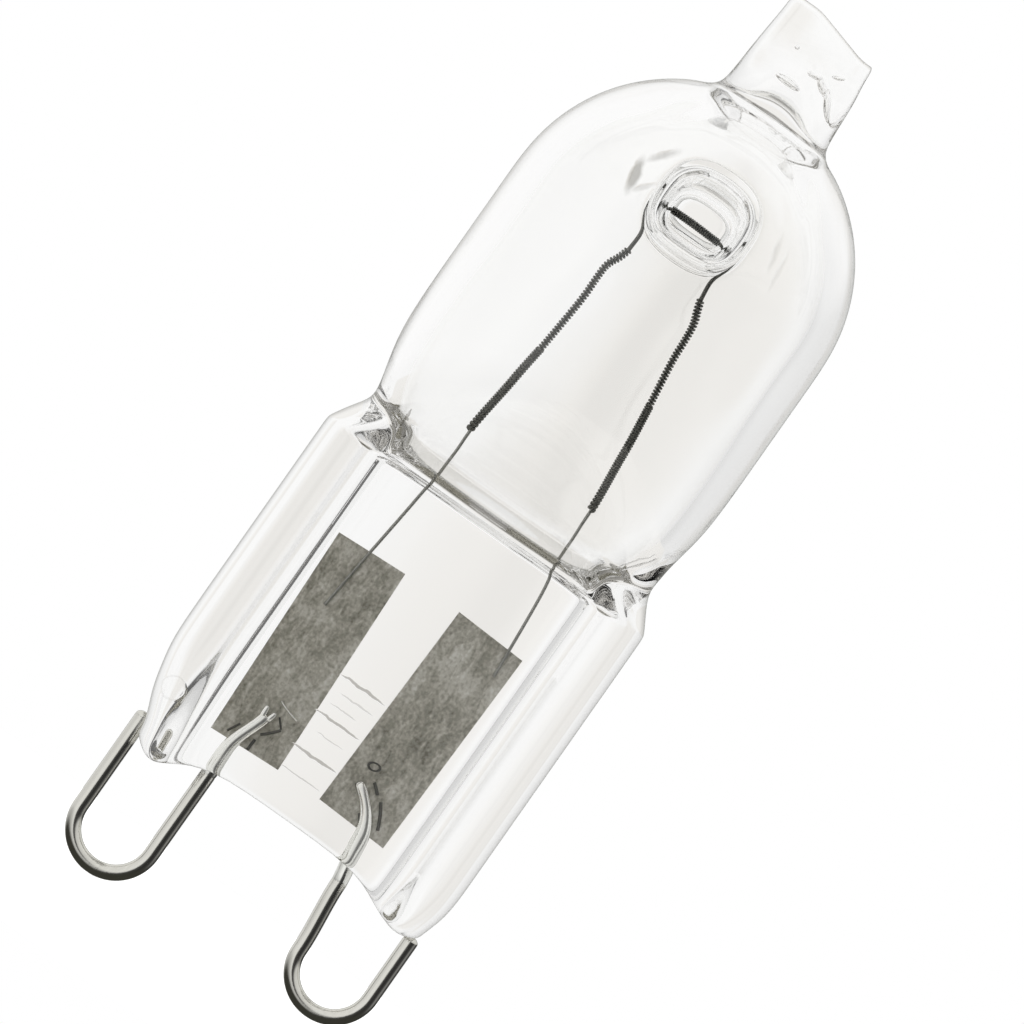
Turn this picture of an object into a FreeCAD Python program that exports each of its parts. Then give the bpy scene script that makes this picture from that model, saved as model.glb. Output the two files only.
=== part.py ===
import FreeCAD, Part
import math
import os

import Sketcher
from FreeCAD import Vector

# Clear capsule bulb with two wire loops: one blown and pressed quartz envelope
# around foils, leads, sleeves and a filament.
# Millimetres. +Z runs from the loops up to the tip, X runs across the wide side
# of the seal, and the origin is the middle of the seal's lower edge.

doc = FreeCAD.newDocument("capsule_bulb")

# Driving sizes

SIZES = {
    # glass tube and dome
    "tube_radius": (6.35, "outside radius of the glass tube"),
    "glass_wall": (1.0, "thickness of the blown wall"),
    "tube_length": (7.25, "length of the tube between neck and dome"),
    "waist_radius": (5.78, "outside radius where the heated tube necks in"),
    "waist_rise": (1.9, "rise from the web's top to the upper end of the neck"),
    "tube_start_rise": (3.8, "rise from the web's top to where the tube has its full radius"),
    "tube_root_depth": (1.0, "how far the blown tube reaches down into the seal"),
    "waist_rounding": (3.0, "radius of the two bends of the neck"),
    # cavity floor
    "cavity_floor_glass": (0.7, "glass between the web's top and the cavity"),
    "cavity_floor_half": (4.3, "half width of the cavity's floor"),
    "cavity_floor_rounding": (0.4, "rounding of the cavity floor's ends"),
    "cavity_neck_rise": (1.0, "rise from the cavity's floor to where it starts to widen"),
    "cavity_slit_depth": (0.9, "depth of the cavity front to back at its floor"),
    "cavity_slit_rise": (0.15, "height of the cavity's straight slit above its floor"),
    "cavity_slope_shift": (0.75, "how much higher the slope ends inside than outside"),
    # pressed shoulder
    "press_reach": (0.3, "how far the press forms run past the tube"),
    "panel_press_rise": (5.2, "rise from the web's top to where the pressed panel ends"),
    "flange_press_rise": (4.3, "rise from the web's top to where the flange's slope ends"),
    "press_bulge_radius": (9.0, "radius of the pressed slope seen from the side"),
    "panel_overlap": (0.3, "how far the pressed panel runs under each flange"),
    "panel_crown_half": (6.3, "half width of the pressed panel at its top"),
    "panel_flare_rise": (3.5, "rise from the web's top to where the panel has its top width"),
    "blank_margin": (0.5, "how far an uncut blank runs past the finished glass"),
    # I-shaped seal
    "seal_width": (13.2, "width across both flanges"),
    "flange_width": (2.05, "width of one flange seen from the front"),
    "flange_depth": (5.2, "depth of a flange front to back"),
    "web_depth": (2.6, "depth of the web front to back"),
    "web_top_height": (12.3, "height where the web meets the pressed panel"),
    "flange_top_drop": (0.1, "how far a flange's outer shoulder lies below the web's top"),
    "shoulder_rise": (1.2, "rise of the shoulder from its edge to the waist"),
    "flange_edge_rounding": (0.8, "rounding of the flange's outer edges"),
    "flange_lip_rounding": (0.4, "rounding of the flange's inner edges"),
    "web_root_rounding": (0.45, "rounding between web and flange"),
    "flange_drop": (0.88, "how far the flanges hang below the web"),
    "flange_low_half": (5.05, "distance of the lowest place from the middle"),
    "web_edge_half": (2.95, "half length of the straight lower edge"),
    "trim_start_height": (3.0, "height where the left side starts to taper"),
    "trim_inset": (0.62, "how far the taper has moved in above the pin's end"),
    "corner_height": (0.5, "height of the right corner's rounding"),
    "corner_inset": (0.55, "width of the right corner's rounding"),
    "pin_clearance": (0.06, "space between the glass and a pin's free end"),
    # marks left by the press
    "mark_pitch": (1.44, "distance between the ridges on the web's back"),
    "mark_first_height": (2.4, "height of the lowest ridge"),
    "mark_half_length": (1.45, "half length of a ridge"),
    "mark_width": (0.16, "width of a ridge"),
    "mark_relief": (0.08, "height of a ridge above the web"),
    "mark_root": (0.1, "how far a ridge reaches into the web"),
    "mark_count": (3, "number of ridges"),
    "round_mark_radius": (0.5, "radius of the round press mark"),
    "round_mark_height": (1.7, "height of the round press mark"),
    "long_mark_length": (1.8, "length of the long press mark"),
    "long_mark_width": (0.5, "width of the long press mark"),
    "long_mark_height": (1.25, "height of the long press mark's middle"),
    "press_mark_depth": (0.12, "depth of the round and the long press mark"),
    # sealed-off exhaust tube on the dome
    "tip_root_width": (4.05, "width of the flattened tip at the dome"),
    "tip_top_width": (3.7, "width of the flattened tip at its end"),
    "tip_depth": (2.2, "depth of the flattened tip front to back"),
    "tip_root_depth": (1.3, "how far the tip's root lies below the top of the dome"),
    "tip_left_rise": (3.7, "rise of the tip's left corner above the dome"),
    "tip_right_rise": (3.1, "rise of the tip's right corner above the dome"),
    "tip_edge_rounding": (0.55, "rounding of the tip's edges"),
    # fused column that holds the filament
    "column_rise": (1.95, "height of the column's axis above the dome's centre"),
    "column_half_width": (1.4, "half width of the column between its flares"),
    "column_half_height": (1.55, "half height of the column between its flares"),
    "column_flare": (1.6, "how far each side of the column has spread at its mouth"),
    "dent_half_width": (1.15, "half width of a dent's narrow part"),
    "dent_half_height": (0.85, "half height of a dent's narrow part"),
    "dent_flare": (1.6, "how far each side of a dent has spread at its mouth"),
    "fused_half_depth": (0.7, "half thickness of the fused glass between the dents"),
    "neck_depth": (2.9, "distance from the middle to where the flares start"),
    "mouth_depth": (6.6, "distance from the middle to where the flares end"),
    "corner_share": (0.55, "corner rounding of column and dents, as a share of their half height"),
    # pins
    "pin_pitch": (9.0, "distance between the two loops' middles"),
    "pin_offset": (0.09, "shift of the pair from the tube's axis"),
    "pin_wire_radius": (0.285, "radius of the pin wire"),
    "loop_radius": (1.48, "bend radius of a loop's wire axis"),
    "left_loop_depth": (3.55, "depth of the left bend's centre below the web"),
    "right_loop_depth": (3.3, "depth of the right bend's centre below the web"),
    "left_free_height": (0.3, "height of the left pin's free end"),
    "right_free_height": (-0.78, "height of the right pin's free end"),
    "left_entry_half": (2.88, "distance of the left inner leg from the axis, in the glass"),
    "right_entry_half": (2.85, "distance of the right inner leg from the axis, in the glass"),
    "pin_round_end_height": (1.0, "height where the round wire ends in the glass"),
    "pin_end_rounding": (0.2, "rounding of the pin's free end"),
    "spade_foot_height": (0.5, "height where the flattened end starts"),
    "spade_bend_height": (1.35, "height where the flattened end leans inwards"),
    "spade_top_height": (2.75, "height of the flattened end's tip"),
    "spade_half_width": (0.34, "half width of the flattened end"),
    "spade_tip_half_width": (0.17, "half width of the flattened end's tip"),
    "spade_thickness": (0.3, "thickness of the flattened end"),
    "spade_lean": (0.85, "how far the flattened end leans inwards"),
    # foils
    "foil_width": (2.8, "width of a foil"),
    "foil_thickness": (0.04, "thickness of a foil"),
    "foil_bottom_height": (1.2, "height of a foil's lower edge"),
    "foil_length": (8.02, "length of a foil at its outer edge"),
    "foil_edge_tilt": (0.13, "rise of a foil's short edges towards the middle"),
    "left_foil_bottom_half": (2.44, "distance of the left foil's foot from the axis"),
    "left_foil_top_half": (2.73, "distance of the left foil's top from the axis"),
    "right_foil_bottom_half": (2.1, "distance of the right foil's foot from the axis"),
    "right_foil_top_half": (2.34, "distance of the right foil's top from the axis"),
    # leads and sleeves
    "lead_radius": (0.08, "radius of a lead wire"),
    "left_lead_overlap": (2.02, "how far the left lead runs down over its foil"),
    "right_lead_overlap": (0.92, "how far the right lead runs down over its foil"),
    "left_lead_bend_drop": (0.1, "how far the left lead's bend lies below the web's top"),
    "right_lead_bend_drop": (0.0, "how far the right lead's bend lies below the web's top"),
    "weld_gap": (0.02, "glass film between a lead and its foil"),
    "sleeve_radius": (0.165, "outside radius of a sleeve"),
    "left_sleeve_rise": (1.9, "rise of the left sleeve's foot above the cavity's floor"),
    "right_sleeve_rise": (1.95, "rise of the right sleeve's foot above the cavity's floor"),
    "left_sleeve_length": (3.4, "height of the left sleeve"),
    "right_sleeve_length": (3.95, "height of the right sleeve"),
    "sleeve_clearance": (0.01, "space between a lead and its sleeve"),
    "sleeve_overlap": (0.15, "how far a lead's end stays below the sleeve's top"),
    # filament
    "coil_radius": (0.14, "outside radius of the coiled legs"),
    "tail_radius": (0.085, "outside radius of the stretched turns at the column"),
    "bridge_drop": (0.52, "how far the filament crosses below the column's axis"),
    "bridge_half": (1.61, "half length of the filament's cross piece"),
    "bridge_bend": (0.22, "radius of the filament's bends into the cross piece"),
    "leg_bend": (0.6, "radius of the filament's gentle bends"),
    "tail_length": (0.4, "height of the stretched turns between coil and bend"),
}

sheet = doc.addObject("Spreadsheet::Sheet", "Sizes")
for row, (alias, (value, meaning)) in enumerate(SIZES.items(), start=1):
    sheet.set("A%d" % row, meaning)
    sheet.set("B%d" % row, str(value))
    sheet.setAlias("B%d" % row, alias)
doc.recompute()


class Length:
    """A length in millimetres that knows its value and its formula in the sheet."""

    def __init__(self, value, formula):
        self.value = float(value)
        self.formula = formula

    def __add__(self, other):
        other = as_length(other)
        return Length(self.value + other.value, "(%s + %s)" % (self.formula, other.formula))

    def __sub__(self, other):
        other = as_length(other)
        return Length(self.value - other.value, "(%s - %s)" % (self.formula, other.formula))

    def __neg__(self):
        return Length(-self.value, "(0 - %s)" % self.formula)

    def __mul__(self, factor):
        factor = as_length(factor)
        return Length(self.value * factor.value, "(%s * %s)" % (self.formula, factor.formula))

    def __truediv__(self, divisor):
        divisor = as_length(divisor)
        return Length(self.value / divisor.value, "(%s / %s)" % (self.formula, divisor.formula))


def as_length(number):
    return number if isinstance(number, Length) else Length(number, repr(float(number)))


def size(alias):
    return Length(sheet.get(alias), "Sizes." + alias)


def slope_angle(rise, run):
    """The angle, in degrees, of a slope with this rise over this run."""
    return Length(math.degrees(math.atan(rise.value / run.value)), "atan(%s / %s)" % (rise.formula, run.formula))


# Sketch and feature helpers


def new_body(label):
    body = doc.addObject("PartDesign::Body", label)
    body.Label = label
    return body


def new_sketch(body, name, role, offset=0.0):
    """A sketch on one of the body's own origin planes, moved along its normal."""
    sketch = body.newObject("Sketcher::SketchObject", name)
    origin_plane = next(item for item in body.Origin.OriginFeatures if item.Role == role)
    sketch.AttachmentSupport = [(origin_plane, "")]
    sketch.MapMode = "FlatFace"
    sketch.setExpression(".AttachmentOffset.Base.z", as_length(offset).formula)
    return sketch


def drive(sketch, constraint, length):
    """Adds a constraint whose value follows the sheet."""
    place = sketch.addConstraint(constraint)
    sketch.setExpression("Constraints[%d]" % place, as_length(length).formula)


def hold_point(sketch, geometry, position, across, up):
    across, up = as_length(across), as_length(up)
    axis_point = (-1, 1)
    drive(sketch, Sketcher.Constraint("DistanceX", *axis_point, geometry, position, across.value), across)
    drive(sketch, Sketcher.Constraint("DistanceY", *axis_point, geometry, position, up.value), up)


def add_line(sketch, start, end, helper=False):
    first = Vector(as_length(start[0]).value, as_length(start[1]).value, 0)
    last = Vector(as_length(end[0]).value, as_length(end[1]).value, 0)
    return sketch.addGeometry(Part.LineSegment(first, last), helper)


def add_arc(sketch, centre, first, last):
    """An arc about centre, counter-clockwise from first to last."""
    angles = [math.atan2(point.y - centre.y, point.x - centre.x) for point in (first, last)]
    circle = Part.Circle(centre, Vector(0, 0, 1), (first - centre).Length)
    return sketch.addGeometry(Part.ArcOfCircle(circle, *angles), False)


def draw_circle(sketch, across, up, radius):
    across, up, radius = as_length(across), as_length(up), as_length(radius)
    circle = Part.Circle(Vector(across.value, up.value, 0), Vector(0, 0, 1), radius.value)
    ring = sketch.addGeometry(circle, False)
    hold_point(sketch, ring, 3, across, up)
    drive(sketch, Sketcher.Constraint("Radius", ring, radius.value), radius)


def draw_outline(sketch, corners):
    """A closed run of straight edges through the corners."""
    edges = [add_line(sketch, start, end) for start, end in zip(corners, corners[1:] + corners[:1])]
    for number, edge in enumerate(edges):
        following = edges[(number + 1) % len(edges)]
        sketch.addConstraint(Sketcher.Constraint("Coincident", edge, 2, following, 1))
        hold_point(sketch, edge, 1, *corners[number])


def draw_route(sketch, corners, radii):
    """An open run of straight edges. Each inner corner is rounded by its radius, or sharp for 0."""
    guides = [add_line(sketch, start, end, helper=True) for start, end in zip(corners, corners[1:])]
    for first, second in zip(guides, guides[1:]):
        sketch.addConstraint(Sketcher.Constraint("Coincident", first, 2, second, 1))
    hold_point(sketch, guides[0], 1, *corners[0])
    for guide, corner in zip(guides, corners[1:]):
        hold_point(sketch, guide, 2, *corner)

    points = [Vector(as_length(across).value, as_length(up).value, 0) for across, up in corners]
    radii = [as_length(radius) for radius in radii]
    starts, ends, bends = [points[0]], [], []
    for before, corner, after, radius in zip(points, points[1:], points[2:], radii):
        inward = (corner - before).normalize()
        outward = (after - corner).normalize()
        trim = radius.value * math.tan(inward.getAngle(outward) / 2)
        ends.append(corner - inward * trim)
        starts.append(corner + outward * trim)
        side = 1 if inward.cross(outward).z > 0 else -1
        centre = ends[-1] + Vector(-inward.y, inward.x, 0) * side * radius.value
        bends.append((centre, side))
    ends.append(points[-1])

    runs = [add_line(sketch, (start.x, start.y), (end.x, end.y)) for start, end in zip(starts, ends)]
    rounded = [False] + [radius.value > 0 for radius in radii] + [False]
    for number, (run, guide) in enumerate(zip(runs, guides)):
        for position, is_round in ((1, rounded[number]), (2, rounded[number + 1])):
            tie = ("PointOnObject", run, position, guide) if is_round else \
                ("Coincident", run, position, guide, position)
            sketch.addConstraint(Sketcher.Constraint(*tie))
    for number, ((centre, side), radius) in enumerate(zip(bends, radii)):
        if radius.value == 0:
            continue
        begin, finish = ends[number], starts[number + 1]
        near_end, far_end = (1, 2) if side > 0 else (2, 1)
        first, last = (begin, finish) if side > 0 else (finish, begin)
        arc = add_arc(sketch, centre, first, last)
        sketch.addConstraint(Sketcher.Constraint("Tangent", runs[number], 2, arc, near_end))
        sketch.addConstraint(Sketcher.Constraint("Tangent", arc, far_end, runs[number + 1], 1))
        drive(sketch, Sketcher.Constraint("Radius", arc, radius.value), radius)
    return runs


def draw_bulb_half(sketch, wall, radii, dome_height):
    """Half a bulb from its floor up one wall and over the dome to the axis."""
    foot_height = wall[0][1]
    runs = draw_route(sketch, [(0.0, foot_height)] + wall, radii)
    dome_radius = wall[-1][0]
    centre = Vector(0, as_length(dome_height).value, 0)
    crown = centre + Vector(0, dome_radius.value, 0)
    dome = add_arc(sketch, centre, centre + Vector(dome_radius.value, 0, 0), crown)
    hold_point(sketch, dome, 3, 0.0, dome_height)
    sketch.addConstraint(Sketcher.Constraint("Coincident", dome, 1, runs[-1], 2))
    axis_edge = sketch.addGeometry(Part.LineSegment(crown, Vector(0, as_length(foot_height).value, 0)), False)
    sketch.addConstraint(Sketcher.Constraint("Coincident", dome, 2, axis_edge, 1))
    sketch.addConstraint(Sketcher.Constraint("Coincident", axis_edge, 2, runs[0], 1))
    sketch.addConstraint(Sketcher.Constraint("Vertical", axis_edge))


def draw_press_form(sketch, half_depth, foot, slope_start, reach, slope_end, top, radius):
    """The side view that a press leaves: narrow below, bulging out to the tube above."""
    corners = [(-half_depth, foot), (half_depth, foot), (half_depth, slope_start),
               (reach, slope_end), (reach, top), (-reach, top), (-reach, slope_end),
               (-half_depth, slope_start)]
    edges = {}
    for number, (start, end) in enumerate(zip(corners, corners[1:] + corners[:1])):
        if number in (2, 6):
            continue
        edges[number] = add_line(sketch, start, end)
        hold_point(sketch, edges[number], 1, *start)
        if number in (1, 5):
            hold_point(sketch, edges[number], 2, *end)
    for first, second in ((0, 1), (3, 4), (4, 5), (7, 0)):
        sketch.addConstraint(Sketcher.Constraint("Coincident", edges[first], 2, edges[second], 1))
    for number in (2, 6):
        start, end = corners[number], corners[(number + 1) % len(corners)]
        begin = Vector(start[0].value, start[1].value, 0)
        finish = Vector(end[0].value, end[1].value, 0)
        chord = finish - begin
        height = math.sqrt(as_length(radius).value ** 2 - (chord.Length / 2) ** 2)
        centre = (begin + finish) / 2 + Vector(-chord.y, chord.x, 0).normalize() * height
        arc = add_arc(sketch, centre, begin, finish)
        sketch.addConstraint(Sketcher.Constraint("Coincident", edges[number - 1], 2, arc, 1))
        sketch.addConstraint(Sketcher.Constraint("Coincident", arc, 2, edges[number + 1], 1))
        drive(sketch, Sketcher.Constraint("Radius", arc, as_length(radius).value), radius)


def draw_rounded_box(sketch, centre_up, half_width, half_height, rounding):
    """A rounded rectangle, as eight edges, about the sketch's upright axis."""
    right, top = as_length(half_width), as_length(half_height)
    low, high = centre_up - top, centre_up + top
    sides = [((-right + rounding, low), (right - rounding, low)),
             ((right, low + rounding), (right, high - rounding)),
             ((right - rounding, high), (-right + rounding, high)),
             ((-right, high - rounding), (-right, low + rounding))]
    lines = []
    for start, end in sides:
        line = add_line(sketch, start, end)
        hold_point(sketch, line, 1, *start)
        hold_point(sketch, line, 2, *end)
        lines.append(line)
    for number in range(4):
        start, end = sides[number][1], sides[(number + 1) % 4][0]
        begin = Vector(start[0].value, start[1].value, 0)
        finish = Vector(end[0].value, end[1].value, 0)
        inward = Vector(-(finish - begin).y, (finish - begin).x, 0) / 2
        arc = add_arc(sketch, (begin + finish) / 2 + inward, begin, finish)
        sketch.addConstraint(Sketcher.Constraint("Coincident", lines[number], 2, arc, 1))
        sketch.addConstraint(Sketcher.Constraint("Coincident", arc, 2, lines[(number + 1) % 4], 1))
        drive(sketch, Sketcher.Constraint("Radius", arc, as_length(rounding).value), rounding)


def pad(body, name, sketch, depth, symmetric=False):
    feature = body.newObject("PartDesign::Pad", name)
    feature.Profile = sketch
    feature.setExpression("Length", as_length(depth).formula)
    if symmetric:
        feature.SideType = "Symmetric"
    return feature


def wire_pipe(body, name, route, section):
    """Sweeps the section along every edge of the route."""
    doc.recompute()
    feature = body.newObject("PartDesign::AdditivePipe", name)
    feature.Profile = (section, [""])
    feature.Spine = (route, ["Edge%d" % (number + 1) for number in range(len(route.Shape.Edges))])
    return feature


def fillet_edges(body, base, name, radius, chosen):
    """Rounds the base's edges that the chosen test picks."""
    doc.recompute()
    names = ["Edge%d" % (number + 1) for number, edge in enumerate(base.Shape.Edges) if chosen(edge)]
    feature = body.newObject("PartDesign::Fillet", name)
    feature.Base = (base, names)
    feature.setExpression("Radius", as_length(radius).formula)
    return feature


def combine(kind, label, base, tool):
    feature = doc.addObject("Part::" + kind, label)
    feature.Base = base
    feature.Tool = tool
    return feature


def fuse(label, pieces):
    feature = doc.addObject("Part::MultiFuse", label)
    feature.Shapes = pieces
    return feature


def is_upright(edge):
    ends = [vertex.Point for vertex in edge.Vertexes]
    return len(ends) == 2 and (ends[0] - ends[1]).cross(Vector(0, 0, 1)).Length < 1e-6


def near(first, second):
    return abs(first - as_length(second).value) < 1e-4


# Heights that several pieces share, each worked out from the web's top upwards.

web_top = size("web_top_height")
cavity_floor = web_top + size("cavity_floor_glass")
tube_foot = web_top - size("tube_root_depth")
tube_start = web_top + size("tube_start_rise")
dome_centre = tube_start + size("tube_length")
dome_top = dome_centre + size("tube_radius")
column_axis = dome_centre + size("column_rise")
foil_low = size("foil_bottom_height")
foil_high = foil_low + size("foil_length")

# Mount plane: the pins lie in the middle of the web, each foil lies on the back
# of its pin's flattened end, and the leads lie on the foils' front.

foil_front = size("spade_thickness") / 2
lead_plane = foil_front - size("weld_gap") - size("lead_radius")


# Pins

def make_pin(label, side, depth, free_height, entry_half):
    """One wire: free end, outer leg, loop, inner leg, and a flattened end in the glass."""
    body = new_body(label)
    radius = size("loop_radius")
    centre_across = size("pin_pitch") / 2 * side + size("pin_offset")
    centre_up = -depth
    outer_across = centre_across + radius * side
    entry_across = entry_half * side
    round_end = size("pin_round_end_height")

    route = new_sketch(body, label + "_route", "XZ_Plane")
    outer = add_line(route, (outer_across, free_height), (outer_across, centre_up))
    centre = Vector(centre_across.value, centre_up.value, 0)
    outer_end = Vector(outer_across.value, centre_up.value, 0)
    inner_end = centre * 2 - outer_end
    first, last = (outer_end, inner_end) if side < 0 else (inner_end, outer_end)
    near_end, far_end = (1, 2) if side < 0 else (2, 1)
    circle = Part.Circle(centre, Vector(0, 0, 1), radius.value)
    bend = route.addGeometry(Part.ArcOfCircle(circle, math.pi, 2 * math.pi), False)
    inner = add_line(route, (inner_end.x, inner_end.y), (entry_across, round_end))
    hold_point(route, outer, 1, outer_across, free_height)
    route.addConstraint(Sketcher.Constraint("Vertical", outer))
    route.addConstraint(Sketcher.Constraint("Tangent", outer, 2, bend, near_end))
    route.addConstraint(Sketcher.Constraint("Tangent", bend, far_end, inner, 1))
    drive(route, Sketcher.Constraint("Radius", bend, radius.value), radius)
    drive(route, Sketcher.Constraint("DistanceY", -1, 1, bend, 3, centre_up.value), centre_up)
    hold_point(route, inner, 2, entry_across, round_end)

    section = new_sketch(body, label + "_section", "XY_Plane", free_height)
    draw_circle(section, outer_across, 0.0, size("pin_wire_radius"))
    wire = wire_pipe(body, label + "_wire", route, section)
    rounded = fillet_edges(
        body, wire, label + "_free_end", size("pin_end_rounding"),
        lambda edge: edge.Closed and near(edge.CenterOfMass.z, free_height))

    spade = new_sketch(body, label + "_spade_outline", "XZ_Plane")
    half, tip = size("spade_half_width"), size("spade_tip_half_width")
    tip_across = entry_across - size("spade_lean") * side
    foot, bend_up, top = size("spade_foot_height"), size("spade_bend_height"), size("spade_top_height")
    draw_outline(spade, [
        (entry_across - half, foot), (entry_across + half, foot), (entry_across + half, bend_up),
        (tip_across + tip, top), (tip_across - tip, top), (entry_across - half, bend_up)])
    pad(body, label + "_spade", spade, size("spade_thickness"), symmetric=True)
    return body


pin_left = make_pin("pin_left", -1, size("left_loop_depth"), size("left_free_height"),
                    size("left_entry_half"))
pin_right = make_pin("pin_right", 1, size("right_loop_depth"), size("right_free_height"),
                     size("right_entry_half"))


# Foils

def make_foil(label, side, bottom_half, top_half):
    """A thin strip that leans outwards towards its top."""
    body = new_body(label)
    outline = new_sketch(body, label + "_outline", "XZ_Plane", -foil_front)
    half, tilt = size("foil_width") / 2, size("foil_edge_tilt")
    bottom_middle, top_middle = bottom_half * side, top_half * side
    draw_outline(outline, [
        (bottom_middle + half * side, foil_low), (bottom_middle - half * side, foil_low + tilt),
        (top_middle - half * side, foil_high + tilt), (top_middle + half * side, foil_high)])
    strip = pad(body, label + "_strip", outline, size("foil_thickness"))
    strip.Reversed = True
    return body


foil_left = make_foil("foil_left", -1, size("left_foil_bottom_half"), size("left_foil_top_half"))
foil_right = make_foil("foil_right", 1, size("right_foil_bottom_half"), size("right_foil_top_half"))


# Leads, sleeves and filament. Their routes follow the bends that the mounted wire
# has, with the places across chosen by hand and the heights tied to the glass.

left_sleeve_foot = cavity_floor + size("left_sleeve_rise")
right_sleeve_foot = cavity_floor + size("right_sleeve_rise")
left_sleeve_run = [(-2.41, left_sleeve_foot), (-1.96, left_sleeve_foot + size("left_sleeve_length"))]
right_sleeve_run = [(2.66, right_sleeve_foot), (2.22, right_sleeve_foot + size("right_sleeve_length"))]
left_lead_foot = [(-2.97, foil_high - size("left_lead_overlap")),
                  (-2.44, web_top - size("left_lead_bend_drop"))]
right_lead_foot = [(3.2, foil_high - size("right_lead_overlap")),
                   (2.82, web_top - size("right_lead_bend_drop"))]


def below_column(points):
    """Turns each point's distance below the column's axis into its height."""
    return [(across, column_axis - drop) for across, drop in points]


left_leg_top, left_kink = below_column([(-1.84, 3.7), (-1.38, 2.2)])
right_leg_top, right_kink = below_column([(1.98, 3.9), (1.46, 2.2)])


def make_wire(body, name, corners, bends, radius):
    """A thin round wire through the corners, in the plane of the leads."""
    route = new_sketch(body, name + "_route", "XZ_Plane", -lead_plane)
    draw_route(route, corners, bends)
    section = new_sketch(body, name + "_section", "XY_Plane", corners[0][1])
    draw_circle(section, corners[0][0], lead_plane, radius)
    wire_pipe(body, name + "_wire", route, section)


def point_below(run, distance):
    """The point of the run that lies a distance below its upper end."""
    (low_x, low_z), (high_x, high_z) = run
    lean = (high_x - low_x) / (high_z - low_z).value
    return (as_length(high_x) - distance * lean, high_z - distance)


def make_lead(label, foot, sleeve_run):
    body = new_body(label)
    corners = foot + [sleeve_run[0], point_below(sleeve_run, size("sleeve_overlap"))]
    make_wire(body, label, corners, [0, 0], size("lead_radius"))
    return body


def make_sleeve(label, run):
    """A close-wound sleeve as a plain tube, bored to pass its lead."""
    body = new_body(label)
    route = new_sketch(body, label + "_route", "XZ_Plane", -lead_plane)
    line = add_line(route, *run)
    hold_point(route, line, 1, *run[0])
    hold_point(route, line, 2, *run[1])
    section = new_sketch(body, label + "_section", "XY_Plane", run[0][1])
    draw_circle(section, run[0][0], lead_plane, size("sleeve_radius"))
    draw_circle(section, run[0][0], lead_plane, size("lead_radius") + size("sleeve_clearance"))
    wire_pipe(body, label + "_tube", route, section)
    return body


def make_filament(label):
    """Two coiled legs joined by stretched turns that cross inside the column."""
    body = new_body(label)
    bridge, half = column_axis - size("bridge_drop"), size("bridge_half")
    gentle, tight = size("leg_bend"), size("bridge_bend")
    tails = [left_leg_top, left_kink, (-half, bridge), (half, bridge), right_kink, right_leg_top]
    make_wire(body, label + "_tails", tails, [gentle, tight, tight, gentle], size("tail_radius"))
    for side, sleeve_run, leg_top, kink in (("_left", left_sleeve_run, left_leg_top, left_kink),
                                            ("_right", right_sleeve_run, right_leg_top, right_kink)):
        coil_end = point_below([leg_top, kink], size("tail_length"))
        make_wire(body, label + side + "_coil", [sleeve_run[1], leg_top, coil_end], [gentle],
                  size("coil_radius"))
    return body


lead_left = make_lead("lead_left", left_lead_foot, left_sleeve_run)
lead_right = make_lead("lead_right", right_lead_foot, right_sleeve_run)
sleeve_left = make_sleeve("sleeve_left", left_sleeve_run)
sleeve_right = make_sleeve("sleeve_right", right_sleeve_run)
filament = make_filament("filament")


# Envelope, first as the forms that the glass worker makes: a domed tube, the
# pressed shoulder, the I-shaped seal, the sealed tip and the fused column.

seal_half = size("seal_width") / 2
web_half = seal_half - size("flange_width")
margin = size("blank_margin")
flange_top = web_top - size("flange_top_drop")
flange_peak = flange_top + size("shoulder_rise")
form_top = dome_top + size("tip_left_rise")
form_reach = size("tube_radius") + size("press_reach")
form_width = (form_reach + margin) * 2
inner_radius = size("tube_radius") - size("glass_wall")


def make_tube():
    body = new_body("tube_and_dome")
    profile = new_sketch(body, "tube_profile", "XZ_Plane")
    bend = size("waist_rounding")
    draw_bulb_half(profile, [
        (size("waist_radius"), tube_foot), (size("waist_radius"), web_top + size("waist_rise")),
        (size("tube_radius"), tube_start), (size("tube_radius"), dome_centre)],
        [0, bend, bend], dome_centre)
    turned = body.newObject("PartDesign::Revolution", "tube_turned")
    turned.Profile = profile
    turned.ReferenceAxis = (profile, ["V_Axis"])
    return body


def make_hollow():
    body = new_body("hollow_blank")
    profile = new_sketch(body, "hollow_profile", "XZ_Plane")
    draw_bulb_half(profile, [
        (size("cavity_floor_half"), cavity_floor),
        (size("waist_radius") - size("glass_wall"), cavity_floor + size("cavity_neck_rise")),
        (inner_radius, tube_start), (inner_radius, dome_centre)],
        [size("cavity_floor_rounding"), size("glass_wall"), size("waist_rounding")],
        dome_centre)
    turned = body.newObject("PartDesign::Revolution", "hollow_turned")
    turned.Profile = profile
    turned.ReferenceAxis = (profile, ["V_Axis"])
    return body


def make_press_form(label, depth, slope_start, reach, slope_end, radius, foot, width):
    body = new_body(label)
    profile = new_sketch(body, label + "_profile", "YZ_Plane")
    draw_press_form(profile, depth / 2, foot, slope_start, reach, slope_end, form_top, radius)
    pad(body, label + "_form", profile, width, symmetric=True)
    return body


def make_panel():
    """The width over which the jaws press the panel: it flares towards the tube."""
    body = new_body("panel_width")
    outline = new_sketch(body, "panel_outline", "XZ_Plane")
    foot_half, crown_half = web_half + size("panel_overlap"), size("panel_crown_half")
    flare = web_top + size("panel_flare_rise")
    draw_outline(outline, [
        (-foot_half, tube_foot), (foot_half, tube_foot), (foot_half, cavity_floor),
        (crown_half, flare), (crown_half, form_top), (-crown_half, form_top), (-crown_half, flare),
        (-foot_half, cavity_floor)])
    pad(body, "panel_block", outline, form_width, symmetric=True)
    return body


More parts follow.
